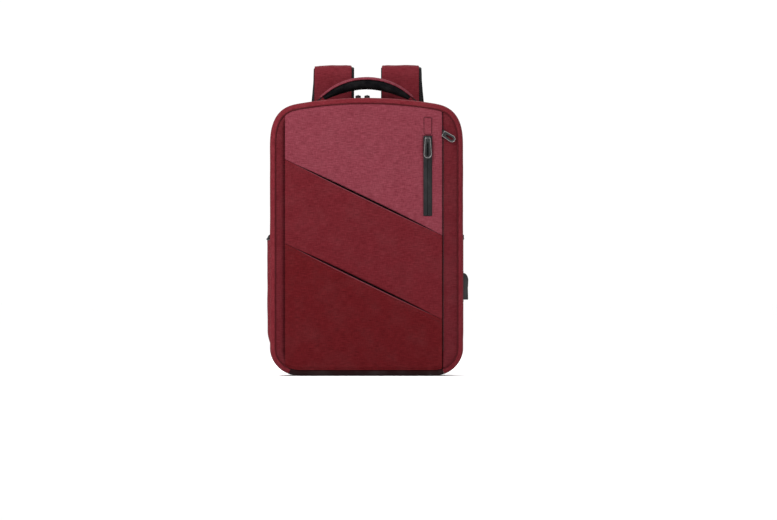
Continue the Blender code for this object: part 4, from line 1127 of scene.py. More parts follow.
def makeZipHardware():
    # sliders and pulls, whose bodies have their nodes' names
    for name, node, joint, lean in (("front", "pocket", "pocket_pull_lift", 0),
                                    ("side", "side", "side_pull_swing", zips["sideLean"])):
        makeSlider(f"{name}Slider", f"{node}_slider", "y", blackPlastic)
        spot = jointPlace(joint)
        spot.y = nodeCentre(f"{node}_pull").y
        turn = Matrix.Rotation(math.radians(lean), 4, "Y") @ turnedX(90)
        makePull(f"{name}Pull", f"{node}_pull", zips[f"{name}Pull"], Matrix.Translation(spot) @ turn,
                 silverRim)
    for side, _ in sides:
        makeSlider(f"mainSlider{side.title()}", f"main_slider_{side}", "z", gunmetal)
        spot = jointPlace(f"main_pull_lift_{side}")
        spot.z = nodeCentre(f"main_pull_{side}").z
        makePull(f"mainPull{side.title()}", f"main_pull_{side}", zips["mainPull"],
                 Matrix.Translation(spot) @ Matrix.Rotation(math.pi, 4, "Z"), gunmetal)


def makeChargingPort():
    # moulded hood with a round top, open at the bottom round a metal socket with its tongue
    low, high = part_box("usb_hood")
    socketLow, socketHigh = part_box("usb_socket")
    bm = boxShape(high - low, (low + high) / 2)
    near = 1e-5
    topOuter = [e for e in bm.edges
                if all(v.co.x > high.x - near and v.co.z > high.z - near for v in e.verts)]
    bevelThese(bm, topOuter, high.x - low.x - 0.0003, 10)
    for vert in bm.verts:
        fromTop = high.z - vert.co.z
        if fromTop < high.x - low.x:
            vert.co.z = high.z - fromTop * 1.5
    skirt = low.z + 0.0195
    for height in (skirt + 0.0006, skirt):
        bmesh.ops.bisect_plane(bm, geom=bm.verts[:] + bm.edges[:] + bm.faces[:],
                               plane_co=(0, 0, height), plane_no=(0, 0, 1))
    middleY = (low.y + high.y) / 2
    for vert in bm.verts:
        if vert.co.z < skirt + 0.0001 and vert.co.x > low.x + 0.001:
            vert.co.x -= 0.0003
            vert.co.y = middleY + (vert.co.y - middleY) * 0.93
    rims = [e for e in bm.edges if len(e.link_faces) == 2 and e.calc_face_angle(0) > 1.2
            and min(v.co.x for v in e.verts) > low.x + 1e-4]
    bevelThese(bm, rims, 0.0012, 3)
    under = min(bm.faces, key=lambda f: f.calc_center_median().z)
    bmesh.ops.inset_region(bm, faces=[under], thickness=0.0011)
    lifted = bmesh.ops.extrude_face_region(bm, geom=[under])
    bmesh.ops.translate(bm, vec=(0, 0, 0.0135),
                        verts=[v for v in lifted["geom"] if isinstance(v, bmesh.types.BMVert)])
    if under.is_valid:
        bmesh.ops.delete(bm, geom=[under], context="FACES")
    bmesh.ops.recalc_face_normals(bm, faces=bm.faces)
    bm.faces.ensure_lookup_table()
    # upper hood in the paler plastic as a painted highlight, the skirt in the plain moulded plastic
    for face in bm.faces:
        face.material_index = int(face.calc_center_median().z < skirt + 0.0003)
    hood = makeObject("chargingHood", bm)
    finishPiece(hood, "front_shell", ["usb_hood"], [hoodPlasticPaintedHighlight, blackPlastic],
                sharp=35)

    centre = (low + high) / 2
    flange = roundedLoop(rectangle(-0.0122, -0.0265, 0.0122, 0.0265), 0.006)
    turn = Matrix.Rotation(math.radians(90), 4, "Z") @ turnedX(90)
    plate = flatPart("chargingFlange", [flange], 0.0008, 0.0003,
                     Matrix.Translation((sideX + 0.00045, centre.y, centre.z)) @ turn)
    finishPiece(plate, "front_shell", materials=[blackPlastic], sharp=40)
    row = [Vector((sideX + 0.0009, centre.y + y * 0.86, centre.z + z * 0.93))
           for y, z in flange + flange[:1]]
    stitchLine("flangeStitches", row, (1, 0, 0), "front_shell", blackThread, stitches["flange"])

    socket = (socketLow + socketHigh) / 2
    bm = boxShape((0.0017, 0.0098, 0.0105), (socket.x - 0.0008, socket.y, socketHigh.z - 0.0060))
    tongue = bevelEdges(makeObject("socketTongue", bm), 0.0003)
    finishPiece(tongue, "front_shell", materials=[blackPlastic])
    frame["nodes"]["usb_socket"].data.materials.clear()
    frame["nodes"]["usb_socket"].data.materials.append(socketMetal)


makeFrontZip()
makeSideZip()
makeZipHardware()
makeChargingPort()
print("zips, pulls and charging port made")


# carry handle: a cloth skin over a padded grip, on webbing sewn into the top seam
handle = dict(
    radius=0.102,
    width=(0.0085, 0.025),      # at the feet, in the middle
    grip=0.0185,                # thickness of the padding in the middle
    skinDrop=0.0031,            # how far the skin's edges turn down over the padding
    crest=0.0030,               # how much fuller the arch stands in the middle
    spread=1.055,               # how far its feet spread
    arc=52.0,                   # half of the arch, in degrees
)
handleY = nodeCentre("handle_skin").y
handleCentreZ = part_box("handle_skin")[1].z - handle["radius"]


def handleWidth(a):
    fullness = 1 - abs(math.degrees(a) - 90) ** 3 / handle["arc"] ** 3
    narrow, wide = handle["width"]
    return narrow + (wide - narrow) * max(0.0, fullness), max(0.0, fullness)


def archPlace(r, a, y):
    lift = handle["crest"] * handleWidth(a)[1] - 0.0006 * (1 - handleWidth(a)[1])
    return Vector((r * math.cos(a) * handle["spread"], y, handleCentreZ + r * math.sin(a) + lift))


def makeHandle():
    footA = math.asin((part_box("handle_skin")[0].z + 0.0004 - handleCentreZ) / handle["radius"])

    def skinPlace(u, v):
        a = math.pi - footA - (math.pi - 2 * footA) * v
        width, fullness = handleWidth(a)
        across = 2 * u - 1
        curl = handle["skinDrop"] * (0.25 + 0.75 * fullness) * abs(across) ** 3.2
        crease = 0.00035 * soften(math.cos(a), across, 0, 14)
        crease += 0.0002 * soften(math.cos(a), across, 5, 60)
        r = handle["radius"] - 0.0005 * across * across - curl + crease - 0.0004
        return archPlace(r, a, handleY - across * width / 2)

    clothPiece("handleSkin", (24, 150), skinPlace, 0.0016, "carry_handle",
               ["handle_skin"], [wineCloth["top"]])
    middle = Vector((0, handleY, handleCentreZ))
    for edge, sign in (("Back", -1), ("Front", 1)):
        row = [skinPlace(0.5 + sign * 0.36, v) for v in np.linspace(0.02, 0.98, 80)]
        stitchLine(f"handleStitches{edge}", row, lambda p: (p - middle).normalized(),
                   "carry_handle", wineThread, stitches["handle"])

    gripA = footA + 0.022

    def gripPlace(u, v):
        a = math.pi - gripA - (math.pi - 2 * gripA) * v
        width, fullness = handleWidth(a)
        half = max(0.001, width / 2 - 0.0011)
        thick = handle["grip"] * (0.13 + 0.87 * fullness ** 1.2) / 2
        turn = 2 * math.pi * u
        c, s = math.cos(turn), math.sin(turn)
        side = math.copysign(abs(c) ** 0.75, c) * half
        lift = math.copysign(abs(s) ** 0.85, s) * thick
        ribs = 0.00028 * math.sin(a * 210) * (1 if s < 0.3 else 0.2)
        r = handle["radius"] - 0.0020 - thick + lift + ribs * (1 if s > 0 else -1)
        return archPlace(r, a, handleY - side)

    grip = closeEnds(shapedGrid("handleGrip", 40, 420, gripPlace, wrap=True))
    finishPiece(grip, "carry_handle", ["handle_grip"], [gripCloth])

    # the webbing under each end goes down into the seam, and bends where the handle turns
    for side, sign in sides:
        def place(u, v):
            a = footA + math.radians(9) * (v - 0.55)
            r = handle["radius"] - 0.0030
            x, z = r * math.cos(a), handleCentreZ + r * math.sin(a)
            drop = smoothstep(1 - v * 2.2)
            x += 0.0030 * drop
            z -= 0.0012 * drop
            half = 0.0040 - 0.0006 * v
            across = (2 * u - 1) * sign
            return Vector((sign * x * handle["spread"], handleY - across * half, z - 0.0006))

        end = clothPiece(f"handleWebbing{side.title()}", (6, 16), place, 0.0018, None,
                         [f"handle_tab_{side}"], [webbing])
        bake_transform(end)


makeHandle()
print("handle made")


# shoulder straps: one continuous skin over a padded mesh, from the seam over the top and down
strap = dict(
    course=((0.0560, 0.0645, 0.400), (0.0548, 0.0643, 0.440), (0.0545, 0.0647, 0.4690),
            (0.0545, 0.0668, 0.4875), (0.0545, 0.0750, 0.4990), (0.0546, 0.0900, 0.5012),
            (0.0550, 0.1030, 0.4905), (0.0560, 0.1120, 0.4680), (0.0610, 0.1180, 0.4200),
            (0.0710, 0.1190, 0.3600), (0.0840, 0.1160, 0.3000), (0.0940, 0.1100, 0.2400),
            (0.1010, 0.1040, 0.1950)),
    width=(0.060, 0.044),       # at the shoulder, at the end
    pad=0.0080,                 # thickness of the mesh padding
    lip=(0.0015, 0.0042),       # how far the padding shows beyond the skin, inside and outside
    crest=0.088,                # depth behind the middle where the sewn end meets the moving part
    droop=0.0014,               # how much lower the left strap's outer edge lies
    stitchLine=0.84,            # share of the half width at which the skin is sewn down
    channels=(-0.36, 0.36),     # shares of the half width at which the padding is sewn through
    webbing=0.0250,
    tailFold=0.016,             # length of the tail's hem
)
strapSteps = 240
strapPoints = evenCourse(smoothCourse(strap["course"], 10), strapSteps)
crestIndex = next(i for i, p in enumerate(strapPoints) if p.y > strap["crest"])


def strapAxes(index):
    before, after = strapPoints[max(0, index - 1)], strapPoints[min(strapSteps, index + 1)]
    along = (after - before).normalized()
    across = (Vector((1, 0, 0)) - along * along.x).normalized()
    return strapPoints[index], along, across, across.cross(along)


def strapWidth(index):
    wide, narrow = strap["width"]
    return wide + (narrow - wide) * smoothstep((index / strapSteps - 0.45) / 0.5)


def strapPlace(index, across, inward, sign, widen=(0.0, 0.0)):
    # a point of the strap: across from -1 to 1, inward from the skin
    index = min(float(strapSteps), max(0.0, index))
    low = int(min(strapSteps - 1, index))
    blend = index - low
    places = []
    for step in (low, low + 1):
        p, along, side, out = strapAxes(step)
        half = strapWidth(step) / 2 + widen[1 if across * sign > 0 else 0]
        places.append(p + side * across * half - out * inward)
    place = places[0].lerp(places[1], blend)
    if sign < 0:
        outer = smoothstep(across) * smoothstep((place.z - 0.40) / 0.08)
        place.z -= strap["droop"] * outer
    return Vector((sign * place.x, place.y, place.z))


def strapSkin(name, first, last, sign):
    def place(u, v):
        across = (2 * ease(u) - 1) * sign
        index = first + (last - first) * v
        inward = 0.0004 + 0.0011 * abs(across) ** 12
        inward -= 0.0005 * soften(across * 0.5, index / 60, 3 * sign, 3.0) * (1 - across * across)
        crease = 0.0004 * groove(abs(across) - strap["stitchLine"], 0.035)
        return strapPlace(index, across, inward + crease, sign)

    skin = shapedGrid(name, 30, max(8, int((last - first) * 0.9)), place)
    return thicken(skin, 0.0014)


def strapPad(name, first, last, sign, closeFirst, closeLast):
    # closed padded tube with two sewn channels on the wearer's side
    def place(u, v):
        index = first + (last - first) * v
        turn = 2 * math.pi * u
        c, s = math.cos(turn), math.sin(turn)
        ends = 1.0
        for closed, away in ((closeFirst, v), (closeLast, 1 - v)):
            if closed:
                rounded = math.sqrt(max(0.0, 1 - (1 - min(1.0, away * 14)) ** 2))
                ends = min(ends, rounded * 0.75 + 0.25)
        across = math.copysign(abs(c) ** 0.42, c)
        lift = math.copysign(abs(s) ** 0.62, s)
        half = strap["pad"] / 2
        channels = sum(groove(across - at, 0.055) for at in strap["channels"]) if s < 0 else 0.0
        quilt = 0.0005 * math.sin(index * 0.52) if s < 0 and abs(across) < 0.3 else 0.0
        seam = 0.0008 * groove(abs(across) - 0.90, 0.03) if s < 0 else 0.0
        depth = half * lift * ends + channels * 0.0016 * ends - quilt + seam
        return strapPlace(index, across * sign * (0.3 + 0.7 * ends), 0.0024 + half - depth, sign,
                          strap["lip"])

    return closeEnds(shapedGrid(name, 64, max(10, int((last - first) * 1.1)), place, wrap=True))


def ribbon(name, points, width, thickness, across=None, samples=None, taper=None):
    # flat webbing along a course; across gives its width direction at a point
    course = evenCourse(points, samples or 60)

    def place(u, v):
        spot = v * (len(course) - 1)
        low = min(int(spot), len(course) - 2)
        p = course[low].lerp(course[low + 1], spot - low)
        side = across(p) if across else Vector((1, 0, 0))
        wide = width * (taper(v) if taper else 1.0)
        return p + side * (2 * u - 1) * wide / 2

    return thicken(shapedGrid(name, 10, len(course) - 1, place), thickness)


def makeStrap(side, sign):
    title, body = side.title(), f"strap_{side}"
    top = strapSkin(f"strapTopSkin{title}", 0, crestIndex + 1, sign)
    finishPiece(top, None, [f"strap_root_{side}"], [wineCloth["strap"]])
    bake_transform(top)
    topPad = strapPad(f"strapTopPad{title}", 6, crestIndex + 2, sign, True, False)
    finishPiece(topPad, None, materials=[strapMesh])
    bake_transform(topPad)
    run = strapSkin(f"strapSkin{title}", crestIndex, strapSteps, sign)
    finishPiece(run, body, [f"strap_skin_{side}"], [wineCloth["strap"]])
    pad = strapPad(f"strapPad{title}", crestIndex, strapSteps, sign, False, True)
    finishPiece(pad, body, [f"strap_pad_{side}"], [strapMesh])

    def away(point):
        mirrored = Vector((sign * point.x, point.y, point.z))
        nearest = min(range(crestIndex, strapSteps + 1, 4),
                      key=lambda i: (strapPoints[i] - mirrored).length)
        out = strapAxes(nearest)[3]
        return Vector((sign * out.x, out.y, out.z))

    for edge, turn in (("Inner", -1), ("Outer", 1)):
        across = turn * strap["stitchLine"]
        row = [strapPlace(i, across, 0.0003, sign)
               for i in np.linspace(crestIndex + 2, strapSteps - 4, 110)]
        stitchLine(f"strapStitches{edge}{title}", row, away, body, wineThread, stitches["strap"])


def makeStrapEnds(side, sign):
    # ladder lock on a sewn loop, webbing down to the seam, a hemmed tail
    title, body = side.title(), f"strap_{side}"
    low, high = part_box(f"ladder_lock_{side}")
    centre, half = (low + high) / 2, (high - low) / 2
    outer = roundedLoop(rectangle(-half.x, -half.z, half.x, half.z), 0.0045)
    upper, lower = (roundedLoop([(-x, z0), (-x, z1), (x, z1), (x, z0)], 0.0014)
                    for x, z0, z1 in ((0.0142, 0.0040, 0.0088), (0.0138, -0.0086, -0.0010)))
    lock = flatPart(f"ladderLock{title}", [outer, upper, lower], (high - low).y, 0.0009,
                    Matrix.Translation(centre) @ turnedX(90))
    finishPiece(lock, body, [f"ladder_lock_{side}"], [blackPlastic], sharp=45)

    lockX, lockY, lockZ = centre
    width, thick = strap["webbing"], 0.0014
    end = strapPoints[-1]
    loop = [(sign * end.x, end.y - 0.002, end.z + 0.006), (lockX, lockY + 0.0052, lockZ + 0.0145),
            (lockX, lockY + 0.0046, lockZ + 0.0090), (lockX, lockY + 0.0004, lockZ + 0.0064),
            (lockX, lockY - 0.0042, lockZ + 0.0096), (lockX, lockY - 0.0046, lockZ + 0.0140),
            (sign * end.x, end.y - 0.0065, end.z + 0.004)]
    band = ribbon(f"lockLoop{title}", smoothCourse(loop, 8), width, thick, samples=44)
    finishPiece(band, body, materials=[webbing])

    webLow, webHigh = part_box(f"strap_webbing_{side}")
    tailLow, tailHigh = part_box(f"strap_tail_{side}")
    tailX = (tailHigh.x - width / 2) if sign > 0 else (tailLow.x + width / 2)
    footX = (webHigh.x - width / 2) if sign > 0 else (webLow.x + width / 2)
    tail = [(tailX, tailHigh.y - 0.0006, tailLow.z), (tailX * 0.85 + lockX * 0.15, 0.1120, 0.108),
            (tailX * 0.3 + lockX * 0.7, 0.1065, 0.140), (lockX, 0.1030, 0.1600),
            (lockX, lockY + 0.0046, lockZ - 0.0075), (lockX, lockY + 0.0040, lockZ - 0.0020),
            (lockX, lockY, lockZ + 0.0004), (lockX, lockY - 0.0042, lockZ - 0.0020),
            (lockX, lockY - 0.0040, lockZ - 0.0080), (lockX, 0.0925, 0.1600),
            (lockX * 0.72 + footX * 0.28, 0.0880, 0.130), (lockX * 0.3 + footX * 0.7, 0.0800, 0.085),
            (footX, webLow.y + 0.0012, webLow.z), (footX, 0.0715, 0.0400)]
    lean = Vector((webHigh.z - webLow.z, 0, footX - lockX)).normalized()

    def across(point):
        turned = smoothstep((0.160 - point.z) / 0.02) if point.y < 0.0925 else 0.0
        return Vector((1, 0, 0)).lerp(Vector((lean.x, 0, lean.z)), turned).normalized()

    long = ribbon(f"strapWebbing{title}", smoothCourse(tail, 10), width, thick, across, samples=190)
    finishPiece(long, None, [f"strap_webbing_{side}", f"strap_tail_{side}"], [webbing])
    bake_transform(long)
    fold = strap["tailFold"]
    hem = [(tailX, tailHigh.y - 0.0024, tailLow.z + fold),
           (tailX, tailHigh.y - 0.0026, tailLow.z + 0.003),
           (tailX, tailHigh.y - 0.0014, tailLow.z - 0.0004),
           (tailX, tailHigh.y + 0.0004, tailLow.z + 0.003),
           (tailX * 0.99, tailHigh.y + 0.0006, tailLow.z + fold)]
    folded = ribbon(f"tailHem{title}", smoothCourse(hem, 8), width, 0.0012, samples=30)
    finishPiece(folded, body, materials=[webbing])
    row = [Vector((tailX + x, tailHigh.y + 0.0008, tailLow.z + fold * 0.7)) for x in (-0.0105, 0.0105)]
    stitchLine(f"tailStitches{title}", row, (0, 1, 0), body, blackThread, stitches["tail"])

    # wedge of folded cloth that holds the webbing in the side seam
    low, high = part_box(f"anchor_tab_{side}")
    bm = boxShape(high - low, (low + high) / 2)
    bmesh.ops.subdivide_edges(bm, edges=bm.edges[:], cuts=5, use_grid_fill=True)
    for vert in bm.verts:
        rise = (vert.co.z - low.z) / (high.z - low.z)
        depth = (vert.co.y - low.y) / (high.y - low.y)
        front, back = low.y + 0.0008 + 0.0085 * rise ** 1.6, low.y + 0.0030 + 0.0142 * rise
        vert.co.y = front + (back - front) * depth
        vert.co.y += 0.0006 * soften(vert.co.x, vert.co.z, sign, 90)
    tab = subdivide(bevelEdges(makeObject(f"anchorTab{title}", bm), 0.0011, 2, 35), 1)
    finishPiece(tab, "rear_shell", [f"anchor_tab_{side}"], [turnedCloth])
    corners = rectangle(low.x + 0.003, 0.2, high.x - 0.003, 0.86)
    corners += [corners[0], corners[2]]         # round the tab, and across it
    row = [Vector((x, low.y + 0.0030 + 0.0142 * t + 0.0004, low.z + (high.z - low.z) * t))
           for x, t in corners]
    for index, (a, b) in enumerate(zip(row, row[1:])):
        name = f"anchorStitches{title}{index}"
        stitchLine(name, [a, b], (0, 0.9, -0.44), "rear_shell", wineThread, stitches["anchor"])


for side, sign in sides:
    makeStrap(side, sign)
    makeStrapEnds(side, sign)
print("shoulder straps made")


# back: flat panel, two breathable pads, yoke over the straps, sleeve for a luggage handle
back = dict(
    padSwell=0.0040,            # how far the filling may push a pad's cover
    padVoxel=0.0050,
    channels=(0.118, 0.190, 0.262, 0.330),      # heights of the sewn channels across a pad
    channelDepth=0.0030,
    hem=0.0075,                 # of the luggage sleeve
)


def makeBackPanel():
    low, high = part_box("back_panel")

    def place(u, v):            # from the wearer's left to the right, so that the faces point back
        x = high.x + (low.x - high.x) * ease(u)
        z = seamBottom(x) + 0.0003 + (seamTop(x) - seamBottom(x) - 0.0006) * ease(v)
        edge = min(x - low.x, high.x - x, seamTop(x) - z, z - seamBottom(x))
        spine = groove(x, 0.013)
        ribs = 0.00035 * math.cos(2 * math.pi * z / 0.009) * spine
        puff = 0.0002 * soften(x, 0, z, 30)
        return Vector((x, high.y - 0.0001 - quarterRoll(edge, 0.0010) + ribs + puff, z))

    clothPiece("backPanel", (90, 260), place, 0.0016, "rear_shell", ["back_panel"],
               [backCloth], flat=True)

    low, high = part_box("strap_yoke")
    inset = 0.0035              # of the yoke's stitches

    def yokePlace(u, v):
        x = high.x + (low.x - high.x) * ease(u)
        z = low.z + (high.z - low.z) * ease(v)
        edge = min(x - low.x, high.x - x, z - low.z, high.z - z)
        sink = 0.0004 * groove(edge - inset, 0.0010)
        return Vector((x, high.y - 0.0002 - quarterRoll(edge, 0.0016) - sink, z))

    clothPiece("strapYoke", (90, 40), yokePlace, 0.0016, "rear_shell", ["strap_yoke"],
               [bindingCloth], flat=True)
    loop = roundedLoop(rectangle(low.x + inset, low.z + inset, high.x - inset, high.z - inset), 0.003)
    row = [Vector((x, high.y - 0.0003, z)) for x, z in loop + loop[:1]]
    stitchLine("yokeStitches", row, (0, 1, 0), "rear_shell", blackThread, stitches["yoke"])


def inflate(piece, swell, voxel, flatY):
    # the pad's filling: pressure pushes its cover out, never by more than swell
    remesh = piece.modifiers.new("even faces", "REMESH")
    remesh.mode = "VOXEL"
    remesh.voxel_size = voxel
    applyModifiers(piece)
    start = [v.co.copy() for v in piece.data.vertices]
    cloth = piece.modifiers.new("filling", "CLOTH")
    cloth.settings.use_pressure = True
    cloth.settings.uniform_pressure_force = 4.0
    cloth.settings.effector_weights.gravity = 0.0
    scene = bpy.context.scene
    for step in range(1, 21):
        scene.frame_set(step)
        bpy.context.view_layer.update()
    applyModifiers(piece)
    scene.frame_set(1)
    for vert, origin in zip(piece.data.vertices, start):
        move = vert.co - origin
        if move.length > swell:
            vert.co = origin + move * (swell / move.length)
        vert.co.y = max(vert.co.y, flatY)


def applyModifiers(piece):
    evaluated = piece.evaluated_get(bpy.context.evaluated_depsgraph_get())
    mesh = bpy.data.meshes.new_from_object(evaluated)
    old = piece.data
    piece.modifiers.clear()
    piece.data = mesh
    bpy.data.meshes.remove(old)


def makePads():
    for side, _ in sides:
        low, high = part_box(f"back_pad_{side}")
        bm = boxShape((high.x - low.x - 0.003, high.y - low.y - 0.0008, high.z - low.z - 0.003),
                      (low + high) / 2)
        upright = [e for e in bm.edges if abs((e.verts[0].co - e.verts[1].co).y) > 0.004]
        bevelThese(bm, upright, 0.016, 8)
        facing = [f for f in bm.faces if f.normal.y > 0.9]
        rim = list({e for f in facing for e in f.edges})
        bevelThese(bm, rim, 0.0048, 4)
        pad = makeObject(f"backPad{side.title()}", bm)
        inflate(pad, back["padSwell"], back["padVoxel"], low.y + 0.0001)
        subdivide(pad, 1)
        applyModifiers(pad)
        middle = (low.x + high.x) / 2
        for vert in pad.data.vertices:
            co = vert.co
            depth = (co.y - low.y) / (high.y - low.y)
            if depth < 0.25:
                continue
            bend = 0.010 * (1 - ((co.x - middle) / 0.05) ** 2)
            channels = sum(groove(co.z - z + bend, 0.0030) for z in back["channels"])
            edge = min(co.x - low.x, high.x - co.x, co.z - low.z, high.z - co.z)
            hem = groove(edge - 0.0085, 0.0022)
            co.y -= (back["channelDepth"] * min(1.0, channels) + 0.0016 * hem) * min(1.0, depth)
            co.y = max(co.y, low.y + 0.0001)
        subdivide(pad, 1)
        finishPiece(pad, "rear_shell", [f"back_pad_{side}"], [padMesh])
        loop = roundedLoop(rectangle(low.x, low.z, high.x, high.z), 0.024, 10)
        row = evenCourse([Vector((x, low.y + 0.0016, z)) for x, z in loop + loop[:1]], 220)
        piping = sweptTube(f"padPiping{side.title()}", row, 0.0016, 8)
        finishPiece(piping, "rear_shell", materials=[bindingCloth])


def makeLuggageSleeve():
    low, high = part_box("luggage_sleeve")
    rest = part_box("back_panel")[1].y + 0.0004

    def sleevePlace(u, v):
        x = high.x + (low.x - high.x) * u
        z = low.z + (high.z - low.z) * ease(v)
        fromEnd = (high.x - abs(x)) / 0.0105
        rise = smoothstep(fromEnd) ** 0.8
        y = rest + 0.0015 + (high.y - rest - 0.0017) * rise
        sag = groove(x, 0.016)
        edge = min(z - low.z, high.z - z)
        y -= 0.0011 * sag * (1 - 0.4 * abs(2 * v - 1))
        y -= 0.0004 * groove(edge - back["hem"], 0.0010)
        y += 0.0005 * soften(x, 4, z, 26) * smoothstep((edge - 0.004) / 0.02) - quarterRoll(edge, 0.0012)
        z -= 0.0012 * sag * (2 * v - 1)
        return Vector((x, y, z))

    clothPiece("luggageSleeve", (150, 60), sleevePlace, 0.0015, "rear_shell",
               ["luggage_sleeve"], [bindingCloth])
    for name, hemZ in (("Low", low.z + back["hem"]), ("High", high.z - back["hem"])):
        v = math.acos(1 - 2 * (hemZ - low.z) / (high.z - low.z)) / math.pi
        row = [sleevePlace(u, v) for u in np.linspace(0.01, 0.99, 140)]
        stitchLine(f"sleeveStitches{name}", row, (0, 1, 0), "rear_shell", blackThread,
                   stitches["sleeveHem"])
    for side, sign in sides:
        row = [Vector((sign * (high.x - 0.0018), rest + 0.0020, z))
               for z in np.linspace(low.z + 0.004, high.z - 0.004, 30)]
        stitchLine(f"sleeveSeam{side.title()}", row, (0, 1, 0), "rear_shell", blackThread,
                   stitches["sleeveSeam"])


makeBackPanel()
makePads()
makeLuggageSleeve()
print("back made")


# side pockets: the left one stands off the wall, the right one lies flat
pocket = dict(
    stand=dict(left=0.0052, right=0.0010),
    gathers=0.0042,             # pitch of the elastic's gathers
    elastic=0.42,               # share of the binding's width on each face; the rest turns over
)


def bellyShare(t):
    # how far a pocket stands out, from seam to seam
    return (1 - (2 * t - 1) ** 4) ** 0.7


def makeSidePockets():
    for side, sign in sides:
        low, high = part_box(f"side_pocket_{side}")
        bandLow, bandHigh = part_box(f"pocket_binding_{side}")
        stand = pocket["stand"][side]
        loose = stand > 0.003

        def place(u, v):
            t = ease(u)
            y = low.y + (high.y - low.y) * (t if sign > 0 else 1 - t)
            z = low.z + (high.z - low.z) * v
            edge = min(y - low.y, high.y - y)
            belly = bellyShare((y - low.y) / (high.y - low.y))
            swell = 0.9 * math.sqrt(smoothstep(v / 0.13)) + 0.1 * v
            out = 0.0005 + stand * belly * swell
            folds = 0.0007 * soften(y * 1.2, z * 0.6, sign * 3, 60) * smoothstep(v * 3) * loose
            out += folds * belly - 0.0004 * groove(edge - 0.0028, 0.0009)
            return Vector((sign * (sideX + out), y, z))

        def bindingPlace(u, v):
            # folded elastic: outer face up, over the mouth and down inside
            y = bandLow.y + (bandHigh.y - bandLow.y) * (u if sign > 0 else 1 - u)
            belly = bellyShare((y - bandLow.y) / (bandHigh.y - bandLow.y))
            gather = 0.00035 * math.sin(2 * math.pi * y / pocket["gathers"])
            thick = 0.0011 if loose else 0.0006
            height = bandHigh.z - bandLow.z
            flat = pocket["elastic"]
            if v < flat:
                lift, out = v / flat * (height - thick), thick
            elif v > 1 - flat:
                lift, out = (1 - v) / flat * (height - thick), -thick * 0.4
            else:
                turn = (v - flat) / (1 - 2 * flat) * math.pi
                lift, out = height - thick + thick * math.sin(turn), thick * (0.3 + 0.7 * math.cos(turn))
            slant = 1 - 0.85 * max(0.0, lift) / height * loose
            x = sideX + 0.0008 + stand * belly * slant + out + gather * loose
            return Vector((sign * x, y, bandLow.z + lift))

        clothPiece(f"sidePocket{side.title()}", (44, 110), place, 0.0010, "rear_shell",
                   [f"side_pocket_{side}"], [wineCloth["side"]])
        clothPiece(f"pocketBinding{side.title()}", (90, 24), bindingPlace, 0.0005,
                   "rear_shell", [f"pocket_binding_{side}"], [elasticBand])
        row = [Vector((sign * (sideX + 0.0010 + stand * bellyShare(t) + 0.0012),
                       bandLow.y + (bandHigh.y - bandLow.y) * t, bandLow.z + 0.0016))
               for t in np.linspace(0.03, 0.97, 30)]
        stitchLine(f"bindingStitches{side.title()}", row, (sign, 0, 0), "rear_shell", blackThread,
                   stitches["binding"])


makeSidePockets()
print("side pockets made")


# inside: divider, pocket floor, laptop sleeve and its closing strap
inside = dict(
    bind=0.011,                 # height of the binding on the sleeve's edge
    quilt=0.036,
    quiltDepth=0.0007,
    corner=0.006,               # of the sleeve
)


def outlineEdges(inset):
    # top and bottom of the outline at x, drawn in by an inset
    loop = [wallPoint(s, inset, 0) for s in np.linspace(0, girth, 700)]
    upper = np.array(sorted((p.x, p.z) for p in loop if p.z > topZ / 2))
    lower = np.array(sorted((p.x, p.z) for p in loop if p.z <= topZ / 2))
    return (lambda x: float(np.interp(x, upper[:, 0], upper[:, 1])),
            lambda x: float(np.interp(x, lower[:, 0], lower[:, 1])))


